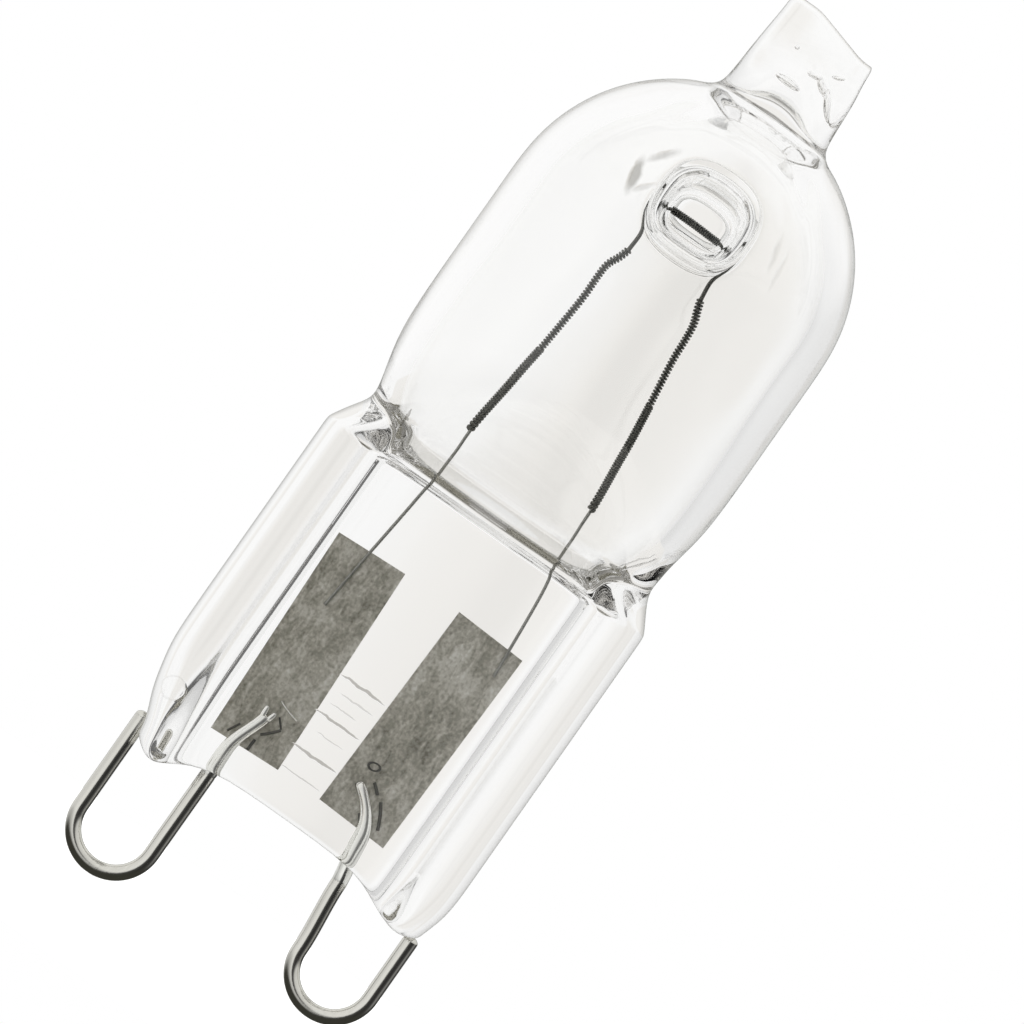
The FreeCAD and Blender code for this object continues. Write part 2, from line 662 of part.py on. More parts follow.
def make_seal_bar():
    """The I-shaped bar that the jaws leave, before its ends are shaped."""
    body = new_body("seal_bar")
    start = -(size("flange_drop") + margin)
    section = new_sketch(body, "seal_section", "XY_Plane", start)
    flange, web = size("flange_depth") / 2, size("web_depth") / 2
    draw_outline(section, [
        (-seal_half, -flange), (-web_half, -flange), (-web_half, -web), (web_half, -web),
        (web_half, -flange), (seal_half, -flange), (seal_half, flange), (web_half, flange),
        (web_half, web), (-web_half, web), (-web_half, flange), (-seal_half, flange)])
    bar = pad(body, "seal_bar_blank", section, flange_peak - start)
    outer = fillet_edges(body, bar, "flange_edges", size("flange_edge_rounding"),
                         lambda edge: is_upright(edge) and near(abs(edge.CenterOfMass.x), seal_half))
    lips = fillet_edges(body, outer, "flange_lips", size("flange_lip_rounding"),
                        lambda edge: is_upright(edge) and near(abs(edge.CenterOfMass.x), web_half)
                        and near(abs(edge.CenterOfMass.y), flange))
    fillet_edges(body, lips, "web_roots", size("web_root_rounding"),
                 lambda edge: is_upright(edge) and near(abs(edge.CenterOfMass.x), web_half)
                 and near(abs(edge.CenterOfMass.y), web))
    add_ridges(body, web)
    add_press_marks(body, flange)
    return body


def add_ridges(body, web):
    """Ridges that the jaw leaves across the web's back."""
    root = size("mark_root")
    outline = new_sketch(body, "ridge_outline", "XZ_Plane", -(web - root))
    low = size("mark_first_height") - size("mark_width") / 2
    high = low + size("mark_width")
    half = size("mark_half_length")
    draw_outline(outline, [(-half, low), (half, low), (half, high), (-half, high)])
    ridge = pad(body, "ridge", outline, size("mark_relief") + root)
    ridge.Reversed = True
    doc.recompute()
    ridges = body.newObject("PartDesign::LinearPattern", "ridges")
    ridges.Originals = [ridge]
    ridges.Direction = (outline, ["V_Axis"])
    ridges.setExpression("Length", (size("mark_pitch") * (size("mark_count") - 1)).formula)
    ridges.setExpression("Occurrences", size("mark_count").formula)
    body.Tip = ridges


def add_press_marks(body, flange):
    """Shallow marks of the press on the front of the flanges, one round and one long."""
    middle = seal_half - size("flange_width") / 2
    round_mark = new_sketch(body, "round_mark", "XZ_Plane", flange)
    draw_circle(round_mark, -middle, size("round_mark_height"), size("round_mark_radius"))
    long_mark = new_sketch(body, "long_mark", "XZ_Plane", flange)
    half_length, half_width = size("long_mark_length") / 2, size("long_mark_width") / 2
    low, high = size("long_mark_height") - half_length, size("long_mark_height") + half_length
    across = middle - half_width
    draw_outline(long_mark, [(across - half_width, low), (across + half_width, low),
                             (across + half_width, high), (across - half_width, high)])
    for sketch in (round_mark, long_mark):
        before = body.Shape.Volume
        pocket = body.newObject("PartDesign::Pocket", sketch.Name + "_pocket")
        pocket.Profile = sketch
        pocket.setExpression("Length", size("press_mark_depth").formula)
        doc.recompute()
        if body.Shape.Volume >= before:
            raise RuntimeError(sketch.Name + " cuts nothing")


def make_seal_outline():
    """The seal's front view: sloping shoulders above, trimmed feet below."""
    body = new_body("seal_outline")
    outline = new_sketch(body, "seal_front", "XZ_Plane")
    slope = size("shoulder_rise") / (seal_half - size("waist_radius"))
    shoulder = flange_top - slope * margin
    edge = seal_half + margin
    low_half, drop = size("flange_low_half"), size("flange_drop")
    pin_outer = size("pin_pitch") / 2 + size("loop_radius")
    notch = pin_outer - size("pin_offset") - size("pin_wire_radius") - size("pin_clearance")
    notch_top = size("left_free_height") + size("pin_clearance")
    right_foot = size("right_free_height") + size("pin_clearance")
    draw_outline(outline, [
        (-edge, shoulder), (-edge, size("trim_start_height")),
        (-seal_half, size("trim_start_height")),
        (-seal_half + size("trim_inset"), notch_top), (-notch, notch_top), (-notch, -drop / 2),
        (-low_half, -drop), (-size("web_edge_half"), as_length(0.0)),
        (size("web_edge_half"), as_length(0.0)), (low_half, -drop),
        (seal_half - size("corner_inset"), right_foot), (seal_half, size("corner_height")),
        (edge, size("corner_height")), (edge, shoulder),
        (size("waist_radius"), flange_peak), (-size("waist_radius"), flange_peak)])
    pad(body, "seal_outline_block", outline, size("flange_depth") + margin * 2, symmetric=True)
    return body


def make_tip():
    """The exhaust tube, pressed flat where it was sealed off."""
    body = new_body("tip")
    outline = new_sketch(body, "tip_outline", "XZ_Plane")
    root, top = size("tip_root_width") / 2, size("tip_top_width") / 2
    high, low = dome_top + size("tip_left_rise"), dome_top + size("tip_right_rise")
    foot = dome_top - size("tip_root_depth")
    draw_outline(outline, [
        (-root, foot), (root, foot), (top, low),
        (top / 4, (high + low) / 2), (-top / 3, high), (-top, high)])
    block = pad(body, "tip_block", outline, size("tip_depth"), symmetric=True)
    fillet_edges(body, block, "tip_edges", size("tip_edge_rounding"),
                 lambda edge: abs(edge.CenterOfMass.y) > 0.01
                 and edge.CenterOfMass.z > foot.value + 0.01)
    return body


def add_pinch_run(body, name, side, span, halves, flare=None):
    """A rounded box that runs from one depth to another, spreading by the flare on the way."""
    start, end = span
    half_width, half_height = halves
    sketch = new_sketch(body, body.Name + name, "XZ_Plane", -start * side)
    draw_rounded_box(sketch, column_axis, half_width, half_height, half_height * size("corner_share"))
    run = pad(body, body.Name + name + "_run", sketch, end - start)
    run.Reversed = side > 0
    if flare:
        run.setExpression("TaperAngle", slope_angle(flare, end - start).formula)


def make_column():
    """The fused glass that crosses the cavity and widens where it meets the tube."""
    body = new_body("column")
    halves = (size("column_half_width"), size("column_half_height"))
    neck, mouth = size("neck_depth"), size("mouth_depth")
    add_pinch_run(body, "_middle", 1, (-neck, neck), halves)
    add_pinch_run(body, "_front_flare", -1, (neck, mouth), halves, size("column_flare"))
    add_pinch_run(body, "_back_flare", 1, (neck, mouth), halves, size("column_flare"))
    return body


def make_dent(label, side):
    """The hollow that the pinching jaw leaves on the outside."""
    body = new_body(label)
    halves = (size("dent_half_width"), size("dent_half_height"))
    floor, neck, mouth = size("fused_half_depth"), size("neck_depth"), size("mouth_depth")
    add_pinch_run(body, "_floor", side, (floor, neck), halves)
    add_pinch_run(body, "_flare", side, (neck, mouth), halves, size("dent_flare"))
    return body


tube = make_tube()
wide_form = make_press_form(
    "flange_press", size("flange_depth"), web_top, form_reach,
    web_top + size("flange_press_rise"), size("press_bulge_radius"), tube_foot - margin, form_width)
narrow_form = make_press_form(
    "panel_press", size("web_depth"), web_top, form_reach,
    web_top + size("panel_press_rise"), size("press_bulge_radius"), tube_foot - margin, form_width)
panel = make_panel()
pressed_away = combine("Cut", "pressed_away", panel, narrow_form)
tube_with_flange_slope = combine("Common", "tube_with_flange_slope", tube, wide_form)
pressed_tube = combine("Cut", "pressed_tube", tube_with_flange_slope, pressed_away)

seal = combine("Common", "seal", make_seal_bar(), make_seal_outline())
solid_glass = fuse("solid_glass", [pressed_tube, seal, make_tip()])

hollow_form = make_press_form(
    "hollow_press", size("cavity_slit_depth"), cavity_floor + size("cavity_slit_rise"),
    inner_radius + size("press_reach"), web_top + size("panel_press_rise") + size("cavity_slope_shift"),
    size("press_bulge_radius") - size("glass_wall"), tube_foot, form_width)
hollow_outside = combine("Common", "hollow_outside", make_hollow(), hollow_form)
hollow = combine("Cut", "hollow", hollow_outside, make_column())
dent_front = make_dent("dent_front", -1)
dent_back = make_dent("dent_back", 1)

embedded = fuse("embedded", [pin_left, pin_right, foil_left, foil_right, lead_left, lead_right, filament])
taken_out = fuse("taken_out", [hollow, dent_front, dent_back])
blown_glass = combine("Cut", "blown_glass", solid_glass, taken_out)
envelope = combine("Cut", "envelope", blown_glass, embedded)
doc.recompute()

# Hand out the finished pieces

nodes = [envelope, filament, sleeve_left, sleeve_right, lead_left, lead_right,
         foil_left, foil_right, pin_left, pin_right]

for item in doc.Objects:
    if any(state in item.State for state in ("Invalid", "Error")):
        raise RuntimeError("%s failed: %s" % (item.Label, item.State))
os.makedirs("parts", exist_ok=True)
for node in nodes:
    shape = node.Shape
    if shape.isNull() or not shape.isValid() or not shape.Solids:
        raise RuntimeError("%s has no valid solid" % node.Label)
    shape.exportStep("parts/%s.step" % node.Label)
    print("%-14s solids %d  faces %3d  volume %9.4f  z %7.3f to %7.3f" % (
        node.Label, len(shape.Solids), len(shape.Faces), shape.Volume,
        shape.BoundBox.ZMin, shape.BoundBox.ZMax))
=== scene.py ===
import math

import bmesh
import bpy
from mathutils import Matrix, Vector


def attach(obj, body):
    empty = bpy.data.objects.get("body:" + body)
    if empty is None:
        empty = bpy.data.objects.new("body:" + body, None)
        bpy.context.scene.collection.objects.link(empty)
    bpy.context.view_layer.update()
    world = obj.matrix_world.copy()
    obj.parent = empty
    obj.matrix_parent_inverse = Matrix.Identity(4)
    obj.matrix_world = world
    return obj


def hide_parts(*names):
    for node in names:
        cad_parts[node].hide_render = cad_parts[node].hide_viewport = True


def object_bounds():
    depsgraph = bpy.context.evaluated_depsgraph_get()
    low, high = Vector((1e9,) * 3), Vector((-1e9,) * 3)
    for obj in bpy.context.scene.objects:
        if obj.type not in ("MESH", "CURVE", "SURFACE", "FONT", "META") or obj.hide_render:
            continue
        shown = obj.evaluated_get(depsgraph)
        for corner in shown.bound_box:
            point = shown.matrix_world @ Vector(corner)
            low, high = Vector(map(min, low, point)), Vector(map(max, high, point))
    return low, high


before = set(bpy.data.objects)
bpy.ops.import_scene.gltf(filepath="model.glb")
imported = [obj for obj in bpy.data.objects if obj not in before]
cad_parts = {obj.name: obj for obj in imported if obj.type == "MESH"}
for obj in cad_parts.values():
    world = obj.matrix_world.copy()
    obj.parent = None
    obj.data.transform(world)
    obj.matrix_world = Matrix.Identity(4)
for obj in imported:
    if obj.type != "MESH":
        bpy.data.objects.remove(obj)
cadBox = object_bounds()

# A clear capsule bulb with two wire loops. Its own frame: +Z up to the tip, the front looks along -Y.
mm = 0.001


def chooseOnly(piece):
    bpy.ops.object.select_all(action="DESELECT")
    piece.select_set(True)
    bpy.context.view_layer.objects.active = piece


def openEdit(piece):
    chooseOnly(piece)
    bpy.ops.object.mode_set(mode="EDIT")
    bpy.ops.mesh.select_mode(type="VERT")
    bpy.ops.mesh.select_all(action="DESELECT")


def closeEdit():
    bpy.ops.object.mode_set(mode="OBJECT")


def editMesh(piece):
    return bmesh.from_edit_mesh(piece.data)


def applyAll(piece):
    chooseOnly(piece)
    for modifier in list(piece.modifiers):
        bpy.ops.object.modifier_apply(modifier=modifier.name)


def addSubdivision(piece, levels):
    modifier = piece.modifiers.new("smoother", "SUBSURF")
    modifier.levels = levels
    modifier.render_levels = levels
    applyAll(piece)


def bakePlace(piece):
    # the object goes to the origin, and its place into the mesh
    chooseOnly(piece)
    bpy.ops.object.transform_apply(location=True, rotation=True, scale=True)


def joinInto(target, others):
    chooseOnly(target)
    for piece in others:
        piece.select_set(True)
    bpy.ops.object.join()


def shadeSmooth(piece, angle=None):
    chooseOnly(piece)
    if angle is None:
        bpy.ops.object.shade_smooth()
    else:
        bpy.ops.object.shade_smooth_by_angle(angle=math.radians(angle))


def turnCurveToMesh(curve, material):
    chooseOnly(curve)
    bpy.ops.object.convert(target="MESH")
    shadeSmooth(curve, 50)
    curve.data.materials.clear()
    curve.data.materials.append(material)


def turnNormals(piece, inside):
    openEdit(piece)
    bpy.ops.mesh.select_all(action="SELECT")
    bpy.ops.mesh.normals_make_consistent(inside=inside)
    closeEdit()


def dress(piece, node):
    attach(piece, "root")
    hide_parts(node)


# Camera: the front view, turned so that the tip leans to the upper right
cameraSet = {
    "lean": 35.08,         # degrees that the bulb leans in the picture
    "viewWidth": 35.19,    # what the picture takes in, across
    "lens": 400.0,
    "aim": (0.447, 0.0, 13.2),
    "clipStart": 0.01,
    "clipEnd": 20.0,
}


def placeCamera():
    bpy.ops.object.camera_add()
    camera = bpy.context.object
    camera.name = "viewCamera"
    camera.data.lens = cameraSet["lens"]
    distance = cameraSet["viewWidth"] * cameraSet["lens"] / camera.data.sensor_width * mm
    back = Vector((0, -1, 0))
    turn = back.to_track_quat("Z", "Y").to_matrix().to_4x4()
    roll = Matrix.Rotation(math.radians(cameraSet["lean"]), 4, "Z")
    aim = Vector(cameraSet["aim"]) * mm
    camera.matrix_world = Matrix.Translation(aim + back * distance) @ turn @ roll
    camera.data.clip_start = cameraSet["clipStart"]
    camera.data.clip_end = cameraSet["clipEnd"]
    bpy.context.scene.camera = camera


placeCamera()
print("camera placed")


# Studio. Each ramp of the world runs over a direction: across from left (0) to right (1), aside from
# straight away (0) to straight back at the viewer (1), level from down (0) to up (1).
behindTone = (0.915, 0.9, 0.875)    # what shows straight through the glass
sideTone = (0.865, 0.85, 0.825)
studioSet = {
    "floorColor": (0.5, 0.5, 0.49),
    "floorGlow": 0.84,
    "floorSize": 0.11,
    "shadeReach": 26.0,    # how far the painted shadow under the seal reaches, as seen through the glass
    # the painted shadow's tones: the backdrop's tone at its border, dark at its middle
    "shade": [(0.0, behindTone), (0.25, behindTone), (0.6, (0.35, 0.34, 0.32)),
              (1.0, (0.2, 0.195, 0.18))],
    "lampPower": 0.5,
    "lampSize": 0.16,
    "lampAim": (0, 0, 0.014),
    "lamps": {"keyLamp": ((-0.22, -0.24, 0.26), 1.0), "fillLamp": ((0.26, -0.2, 0.12), 0.35)},
    # through the glass: the pale backdrop, white about it, dimmer towards the viewer and at the right
    "straight": [(0.0, 1.0), (0.475, 1.0), (0.4925, (0.955, 0.948, 0.935)), (0.499, behindTone),
                 (0.505, sideTone), (0.511, sideTone), (0.52, behindTone), (1.0, behindTone)],
    "straightShare": [(0.0, 1.0), (0.03, 1.0), (0.1, 0.0), (1.0, 0.0)],
    "around": [(0.0, 1.0), (0.65, 1.0), (0.8, 0.9), (0.9, 0.8), (1.0, 0.72)],
    "farFlags": [(0.0, 0.95), (0.2, 1.0), (0.6, 1.0), (0.8, 0.9), (0.93, 0.76), (1.0, 0.7)],
    "nearFlags": [(0.0, 1.0), (0.46, 1.0), (0.52, 0.6), (0.6, 0.22), (0.8, 0.14), (1.0, 0.3)],
    "nearShare": [(0.0, 0.0), (0.56, 0.0), (0.68, 1.0), (1.0, 1.0)],
    "downward": [(0.0, 1.0), (0.4, 1.0), (0.7, 0.8), (1.0, 0.65)],
    # on the metal: a white left side and top, a dark right side and underside
    "sides": [(0.0, 0.85), (0.2, 1.0), (0.42, 1.0), (0.48, 0.7), (0.53, 0.08), (0.8, 0.03), (0.95, 0.06),
              (1.0, 0.25)],
    "topShare": [(0.0, 0.0), (0.58, 0.0), (0.7, 0.8), (1.0, 1.0)],
    "topTone": (0.95, 0.95, 0.94),
    "underShare": [(0.0, 1.0), (0.22, 1.0), (0.38, 0.35), (0.45, 0.0), (1.0, 0.0)],
    "underTone": (0.05, 0.05, 0.042),
    "behindShare": [(0.0, 0.9), (0.1, 0.8), (0.22, 0.0), (1.0, 0.0)],
    "mirroredBehind": (0.3, 0.3, 0.28),
    "bounces": 32,
    "glossyBounces": 20,
    "transmissionBounces": 26,
}


def feed(tree, node, values):
    # into each input, by its name or number, goes a value or what another node gives
    for name, value in values.items():
        socket = node.inputs[name]
        if isinstance(value, bpy.types.NodeSocket):
            tree.links.new(value, socket)
        else:
            socket.default_value = (*value, 1) if socket.type == "RGBA" else value


def addNode(tree, kind, values={}):
    node = tree.nodes.new("ShaderNode" + kind)
    feed(tree, node, values)
    return node


def mathNode(tree, operation, *values):
    node = addNode(tree, "Math")
    node.operation = operation
    feed(tree, node, dict(enumerate(values)))
    return node.outputs[0]


def addRamp(tree, factor, stops):
    ramp = addNode(tree, "ValToRGB", {0: factor})
    ramp.color_ramp.interpolation = "EASE"
    while len(ramp.color_ramp.elements) > 1:
        ramp.color_ramp.elements.remove(ramp.color_ramp.elements[0])
    ramp.color_ramp.elements[0].position = stops[0][0]
    for position, _ in stops[1:]:
        ramp.color_ramp.elements.new(position)
    for element, (_, color) in zip(ramp.color_ramp.elements, stops):
        element.color = (*color, 1.0) if isinstance(color, tuple) else (color, color, color, 1.0)
    return ramp.outputs[0]


def mixColors(tree, factor, first, second, blend="MIX"):
    mix = addNode(tree, "Mix")
    mix.data_type = "RGBA"
    mix.blend_type = blend
    feed(tree, mix, {0: factor, 6: first, 7: second})
    return mix.outputs[2]


def addBackground(tree, color):
    return addNode(tree, "Background", {"Color": color}).outputs[0]


def mixShaders(tree, factor, first, second):
    return addNode(tree, "MixShader", {0: factor, 1: first, 2: second}).outputs[0]


def addSpot(tree, place, centre, halves, turn=0):
    # 1 in the middle of an oval spot, and 0 from its border on
    mapping = addNode(tree, "Mapping", {
        "Vector": place, "Location": Vector(centre) * mm, "Scale": Vector(halves) * mm,
        "Rotation": (0, math.radians(turn), 0)})
    mapping.vector_type = "TEXTURE"
    gradient = addNode(tree, "TexGradient", {"Vector": mapping.outputs[0]})
    gradient.gradient_type = "SPHERICAL"
    return gradient.outputs["Fac"]


def buildWorld():
    world = bpy.data.worlds.new("studioWorld")
    bpy.context.scene.world = world
    world.use_nodes = True
    tree = world.node_tree
    tree.nodes.clear()
    place = addNode(tree, "TexCoord").outputs["Generated"]
    split = addNode(tree, "SeparateXYZ", {0: place})
    rays = addNode(tree, "LightPath")
    across = mathNode(tree, "MULTIPLY_ADD", split.outputs["X"], 0.5, 0.5)
    turned = mathNode(tree, "ARCCOSINE", split.outputs["Y"])
    aside = mathNode(tree, "DIVIDE", turned, math.pi)
    level = mathNode(tree, "MULTIPLY_ADD", split.outputs["Z"], 0.5, 0.5)
    downward = mathNode(tree, "MULTIPLY", split.outputs["Z"], -1.0)

    def ramp(name, direction):
        return addRamp(tree, direction, studioSet[name])

    seen = ramp("around", aside)
    seen = mixColors(tree, ramp("straightShare", aside), seen, ramp("straight", across))
    flags = ramp("farFlags", across)
    flags = mixColors(tree, ramp("nearShare", aside), flags, ramp("nearFlags", across))
    flags = mixColors(tree, 1.0, flags, ramp("downward", downward), "MULTIPLY")
    through = addBackground(tree, mixColors(tree, 1.0, seen, flags, "MULTIPLY"))
    mirrored = mixColors(tree, ramp("topShare", level), ramp("sides", across), studioSet["topTone"])
    mirrored = mixColors(tree, ramp("underShare", level), mirrored, studioSet["underTone"])
    mirrored = mixColors(tree, ramp("behindShare", aside), mirrored, studioSet["mirroredBehind"])
    mirrored = addBackground(tree, mirrored)
    shown = mixShaders(tree, rays.outputs["Is Transmission Ray"], mirrored, through)
    white = addBackground(tree, (1, 1, 1))
    shown = mixShaders(tree, rays.outputs["Is Camera Ray"], shown, white)
    addNode(tree, "OutputWorld", {"Surface": shown})


def buildFloor():
    low = cadBox[0].z
    bpy.ops.mesh.primitive_plane_add(size=studioSet["floorSize"], location=(0, 0, low))
    floor = bpy.context.object
    floor.name = "studioFloor"
    bakePlace(floor)
    material = bpy.data.materials.new("paleFloorWithPaintedShadow")
    material.use_nodes = True
    tree = material.node_tree
    tree.nodes.clear()
    rays = addNode(tree, "LightPath")
    matte = addNode(tree, "BsdfDiffuse", {"Color": studioSet["floorColor"]})
    strength = mathNode(tree, "MULTIPLY", rays.outputs["Is Camera Ray"], studioSet["floorGlow"])
    glow = addNode(tree, "Emission", {"Strength": strength})
    both = addNode(tree, "AddShader", {0: matte.outputs[0], 1: glow.outputs[0]})
    # through the glass the floor glows in the backdrop's tone, with a painted shadow right below the seal
    place = addNode(tree, "TexCoord").outputs["Object"]
    reach = studioSet["shadeReach"]
    paintedShadowSpot = addSpot(tree, place, (0, 0, low / mm), (reach, reach, reach))
    backdropWithPaintedShadow = addNode(tree, "Emission", {"Color": addRamp(tree, paintedShadowSpot, studioSet["shade"])})
    through = rays.outputs["Is Transmission Ray"]
    shown = mixShaders(tree, through, both.outputs[0], backdropWithPaintedShadow.outputs[0])
    addNode(tree, "OutputMaterial", {"Surface": shown})
    floor.data.materials.append(material)
    floor.visible_glossy = False


def addLamp(name, place, share):
    bpy.ops.object.light_add(type="AREA", location=place)
    lamp = bpy.context.object
    lamp.name = name
    lamp.data.energy = studioSet["lampPower"] * share
    lamp.data.shape = "DISK"
    lamp.data.size = studioSet["lampSize"]
    lamp.visible_glossy = lamp.visible_transmission = False
    aim = Vector(studioSet["lampAim"]) - Vector(place)
    lamp.rotation_mode = "QUATERNION"
    lamp.rotation_quaternion = aim.to_track_quat("-Z", "Y")


buildWorld()
buildFloor()
for name, (place, share) in studioSet["lamps"].items():
    addLamp(name, place, share)
bpy.context.scene.view_settings.view_transform = "Standard"
print("studio set up")


# Materials


def newMaterial(name):
    material = bpy.data.materials.new(name)
    material.use_nodes = True
    return material, material.node_tree, material.node_tree.nodes["Principled BSDF"]


def objectPlace(tree, rise=1):
    # the object's own coordinates, drawn out along Z for a rise under 1
    place = addNode(tree, "TexCoord").outputs["Object"]
    return addNode(tree, "Mapping", {"Vector": place, "Scale": (1, 1, rise)}).outputs[0]


def addNoise(tree, place, scale, detail=3.0, roughness=0.5, distortion=0.0):
    noise = addNode(tree, "TexNoise", {
        "Vector": place, "Scale": scale, "Detail": detail, "Roughness": roughness, "Distortion": distortion})
    return noise.outputs["Fac"]


def addBump(tree, height, distance, strength=1.0, normal=None):
    bump = addNode(tree, "Bump", {"Height": height, "Distance": distance, "Strength": strength})
    if normal is not None:
        feed(tree, bump, {"Normal": normal})
    return bump.outputs[0]


glassSet = {
    "tint": (0.99, 0.99, 0.985),
    "ior": 1.46,
    "absorbColor": (0.5, 0.48, 0.44),
    "absorbDensity": 12.0,
    "waveScale": 240.0,
    "waveRise": 0.35,
    "waveDepth": 0.00012,
    "waveStrength": 0.04,
    "wrinkleScale": 1500.0,
    "wrinkleDepth": 0.00004,
    "wrinkled": ((0.4, 0.0, 30.95), (1.7, 3.0, 1.3)),    # where the tip is wrinkled: middle, half sizes
}


# Press marks in the glass: middle, half sizes, turn and strength. They show as thin greyish lines: each a
# slight bump, with a painted shade of grey mixed into the glass's colour.
marksAndPaintedShadeSet = {
    # the grey of the painted shade along the marks
    "color": (0.3, 0.29, 0.27),
    "depth": 0.00003,
    "depthStrength": 0.8,
    "strayScale": 2600.0,
    "strayReach": 0.16,
    "lines": [
        ((-0.25, -1.3, 5.29), (1.0, 1.2, 0.06), 0, 1.0), ((-0.25, -1.3, 3.81), (1.0, 1.2, 0.05), 0, 1.0),
        ((-0.25, -1.3, 2.41), (1.0, 1.2, 0.06), 0, 1.0), ((-0.1, -1.3, 4.74), (0.75, 0.8, 0.03), 0, 0.6),
        ((-0.35, -1.3, 4.28), (0.6, 0.8, 0.025), 0, 0.6), ((-0.15, -1.3, 3.2), (0.6, 0.8, 0.025), 0, 0.6),
        ((-0.25, -1.3, 1.58), (0.85, 0.8, 0.03), 0, 0.7),
        ((5.14, -4.4, 14.35), (1.5, 1.6, 0.06), -51.6, 0.7),
        ((4.9, -4.4, 14.3), (1.2, 1.6, 0.035), -51.6, 0.6),
        ((-4.36, -3.6, 13.7), (0.06, 1.2, 0.42), 0, 0.9)],
    "lineEdge": 0.2,
    # soft dark bands beside the dimple: painted shade only
    "paintedShadeBands": [
        ((-2.72, -5.6, 25.0), (0.26, 0.9, 1.0), -12, 1.3), ((-2.3, -5.5, 26.05), (0.85, 0.9, 0.2), -50, 0.8),
        ((-2.25, -5.7, 24.72), (0.65, 0.9, 0.15), -45, 0.5), ((2.7, -5.6, 25.6), (0.15, 0.9, 1.1), -14, 0.4),
        ((3.15, -5.5, 25.2), (0.13, 0.9, 1.2), -8, 0.3)],
    "softEdge": 0.8,
    # a faint grey ring, mixed into the glass's colour
    "ring": ((-5.57, -2.6, 1.65), (0.5, 1.4, 0.48)),
    "ringStops": [(0.0, 0.0), (0.12, 0.25), (0.24, 0.0)],
}


def gatherMarksAndPaintedShade(tree, place):
    marksAndPaintedShade = [(mark[:3], [(0.0, 0.0), (marksAndPaintedShadeSet["lineEdge"], mark[3])]) for mark in marksAndPaintedShadeSet["lines"]]
    marksAndPaintedShade += [(mark[:3], [(0.0, 0.0), (marksAndPaintedShadeSet["softEdge"], mark[3])]) for mark in marksAndPaintedShadeSet["paintedShadeBands"]]
    marksAndPaintedShade.append((marksAndPaintedShadeSet["ring"], marksAndPaintedShadeSet["ringStops"]))
    found = None
    for spot, stops in marksAndPaintedShade:
        shade = addRamp(tree, addSpot(tree, place, *spot), stops)
        found = shade if found is None else mathNode(tree, "MAXIMUM", found, shade)
    return found


def wavyPlace(tree, scale, reach):
    # the object's own coordinates, led a little astray
    place = addNode(tree, "TexCoord").outputs["Object"]
    noise = addNode(tree, "TexNoise", {"Vector": place, "Scale": scale, "Detail": 3.0})
    shift = addNode(tree, "VectorMath")
    shift.operation = "MULTIPLY_ADD"
    feed(tree, shift, {0: noise.outputs["Color"], 1: [reach] * 3, 2: [-reach / 2] * 3})
    return addNode(tree, "VectorMath", {0: place, 1: shift.outputs[0]}).outputs[0]


def makeGlass():
    material, tree, glass = newMaterial("firePolishedQuartz")
    stray = wavyPlace(tree, marksAndPaintedShadeSet["strayScale"], marksAndPaintedShadeSet["strayReach"] * mm)
    marksAndPaintedShade = gatherMarksAndPaintedShade(tree, stray)
    # painted shade: the marks' grey is mixed into the glass's colour
    color = mixColors(tree, marksAndPaintedShade, glassSet["tint"], marksAndPaintedShadeSet["color"])
    place = objectPlace(tree, glassSet["waveRise"])
    waves = addNoise(tree, place, glassSet["waveScale"], 2.0)
    normal = addBump(tree, waves, glassSet["waveDepth"], glassSet["waveStrength"])
    place = objectPlace(tree)
    wrinkles = addNoise(tree, place, glassSet["wrinkleScale"], 2.0, 0.5, 0.8)
    wrinkled = addSpot(tree, place, *glassSet["wrinkled"])
    wrinkles = mathNode(tree, "MULTIPLY", wrinkled, wrinkles)
    normal = addBump(tree, wrinkles, glassSet["wrinkleDepth"], 1.0, normal)
    normal = addBump(tree, marksAndPaintedShade, marksAndPaintedShadeSet["depth"], marksAndPaintedShadeSet["depthStrength"], normal)
    feed(tree, glass, {"Base Color": color, "Roughness": 0.0, "IOR": glassSet["ior"], "Normal": normal,
                       "Transmission Weight": 1.0})
    absorb = addNode(tree, "VolumeAbsorption", {
        "Color": glassSet["absorbColor"], "Density": glassSet["absorbDensity"]})
    feed(tree, tree.nodes["Material Output"], {"Volume": absorb.outputs[0]})
    return material


steelSet = {
    "pin": ((0.62, 0.61, 0.56), (0.76, 0.75, 0.7)),      # darkest and lightest colour
    "blade": ((0.78, 0.78, 0.74), (0.92, 0.92, 0.88)),
    "streakScale": 9000.0,
    "streakRise": 0.08,
    "streakDepth": 0.000004,
    "streakStrength": 0.35,
    "roughness": 0.1,
}


def makeSteel(name, low, high):
    material, tree, steel = newMaterial(name)
    place = objectPlace(tree, steelSet["streakRise"])
    streaks = addNoise(tree, place, steelSet["streakScale"], 4.0)
    rough = steelSet["roughness"]
    feed(tree, steel, {
        "Metallic": 1.0,
        "Base Color": mixColors(tree, streaks, low, high),
        "Roughness": mathNode(tree, "MULTIPLY_ADD", streaks, rough, rough),
        "Normal": addBump(tree, streaks, steelSet["streakDepth"], steelSet["streakStrength"])})
    return material


foilLook = {
    # scale, rise, detail, roughness, distortion and share of each layer of the pattern
    "streaks": (3600.0, 0.4, 6.0, 0.6, 0.6, 0.42),
    "patches": (600.0, 0.6, 5.0, 0.55, 0.5, 0.3),
    "grain": (8000.0, 1, 3.0, 0.5, 0.0, 0.28),
    "tones": [(0.36, (0.23, 0.222, 0.178)), (0.44, (0.405, 0.39, 0.325)), (0.5, (0.565, 0.547, 0.472)),
              (0.56, (0.73, 0.712, 0.636)), (0.64, (0.92, 0.91, 0.85))],
    "metallic": 0.3,
    "roughness": 0.5,
    "depth": 0.00008,
    "depthStrength": 0.7,
}


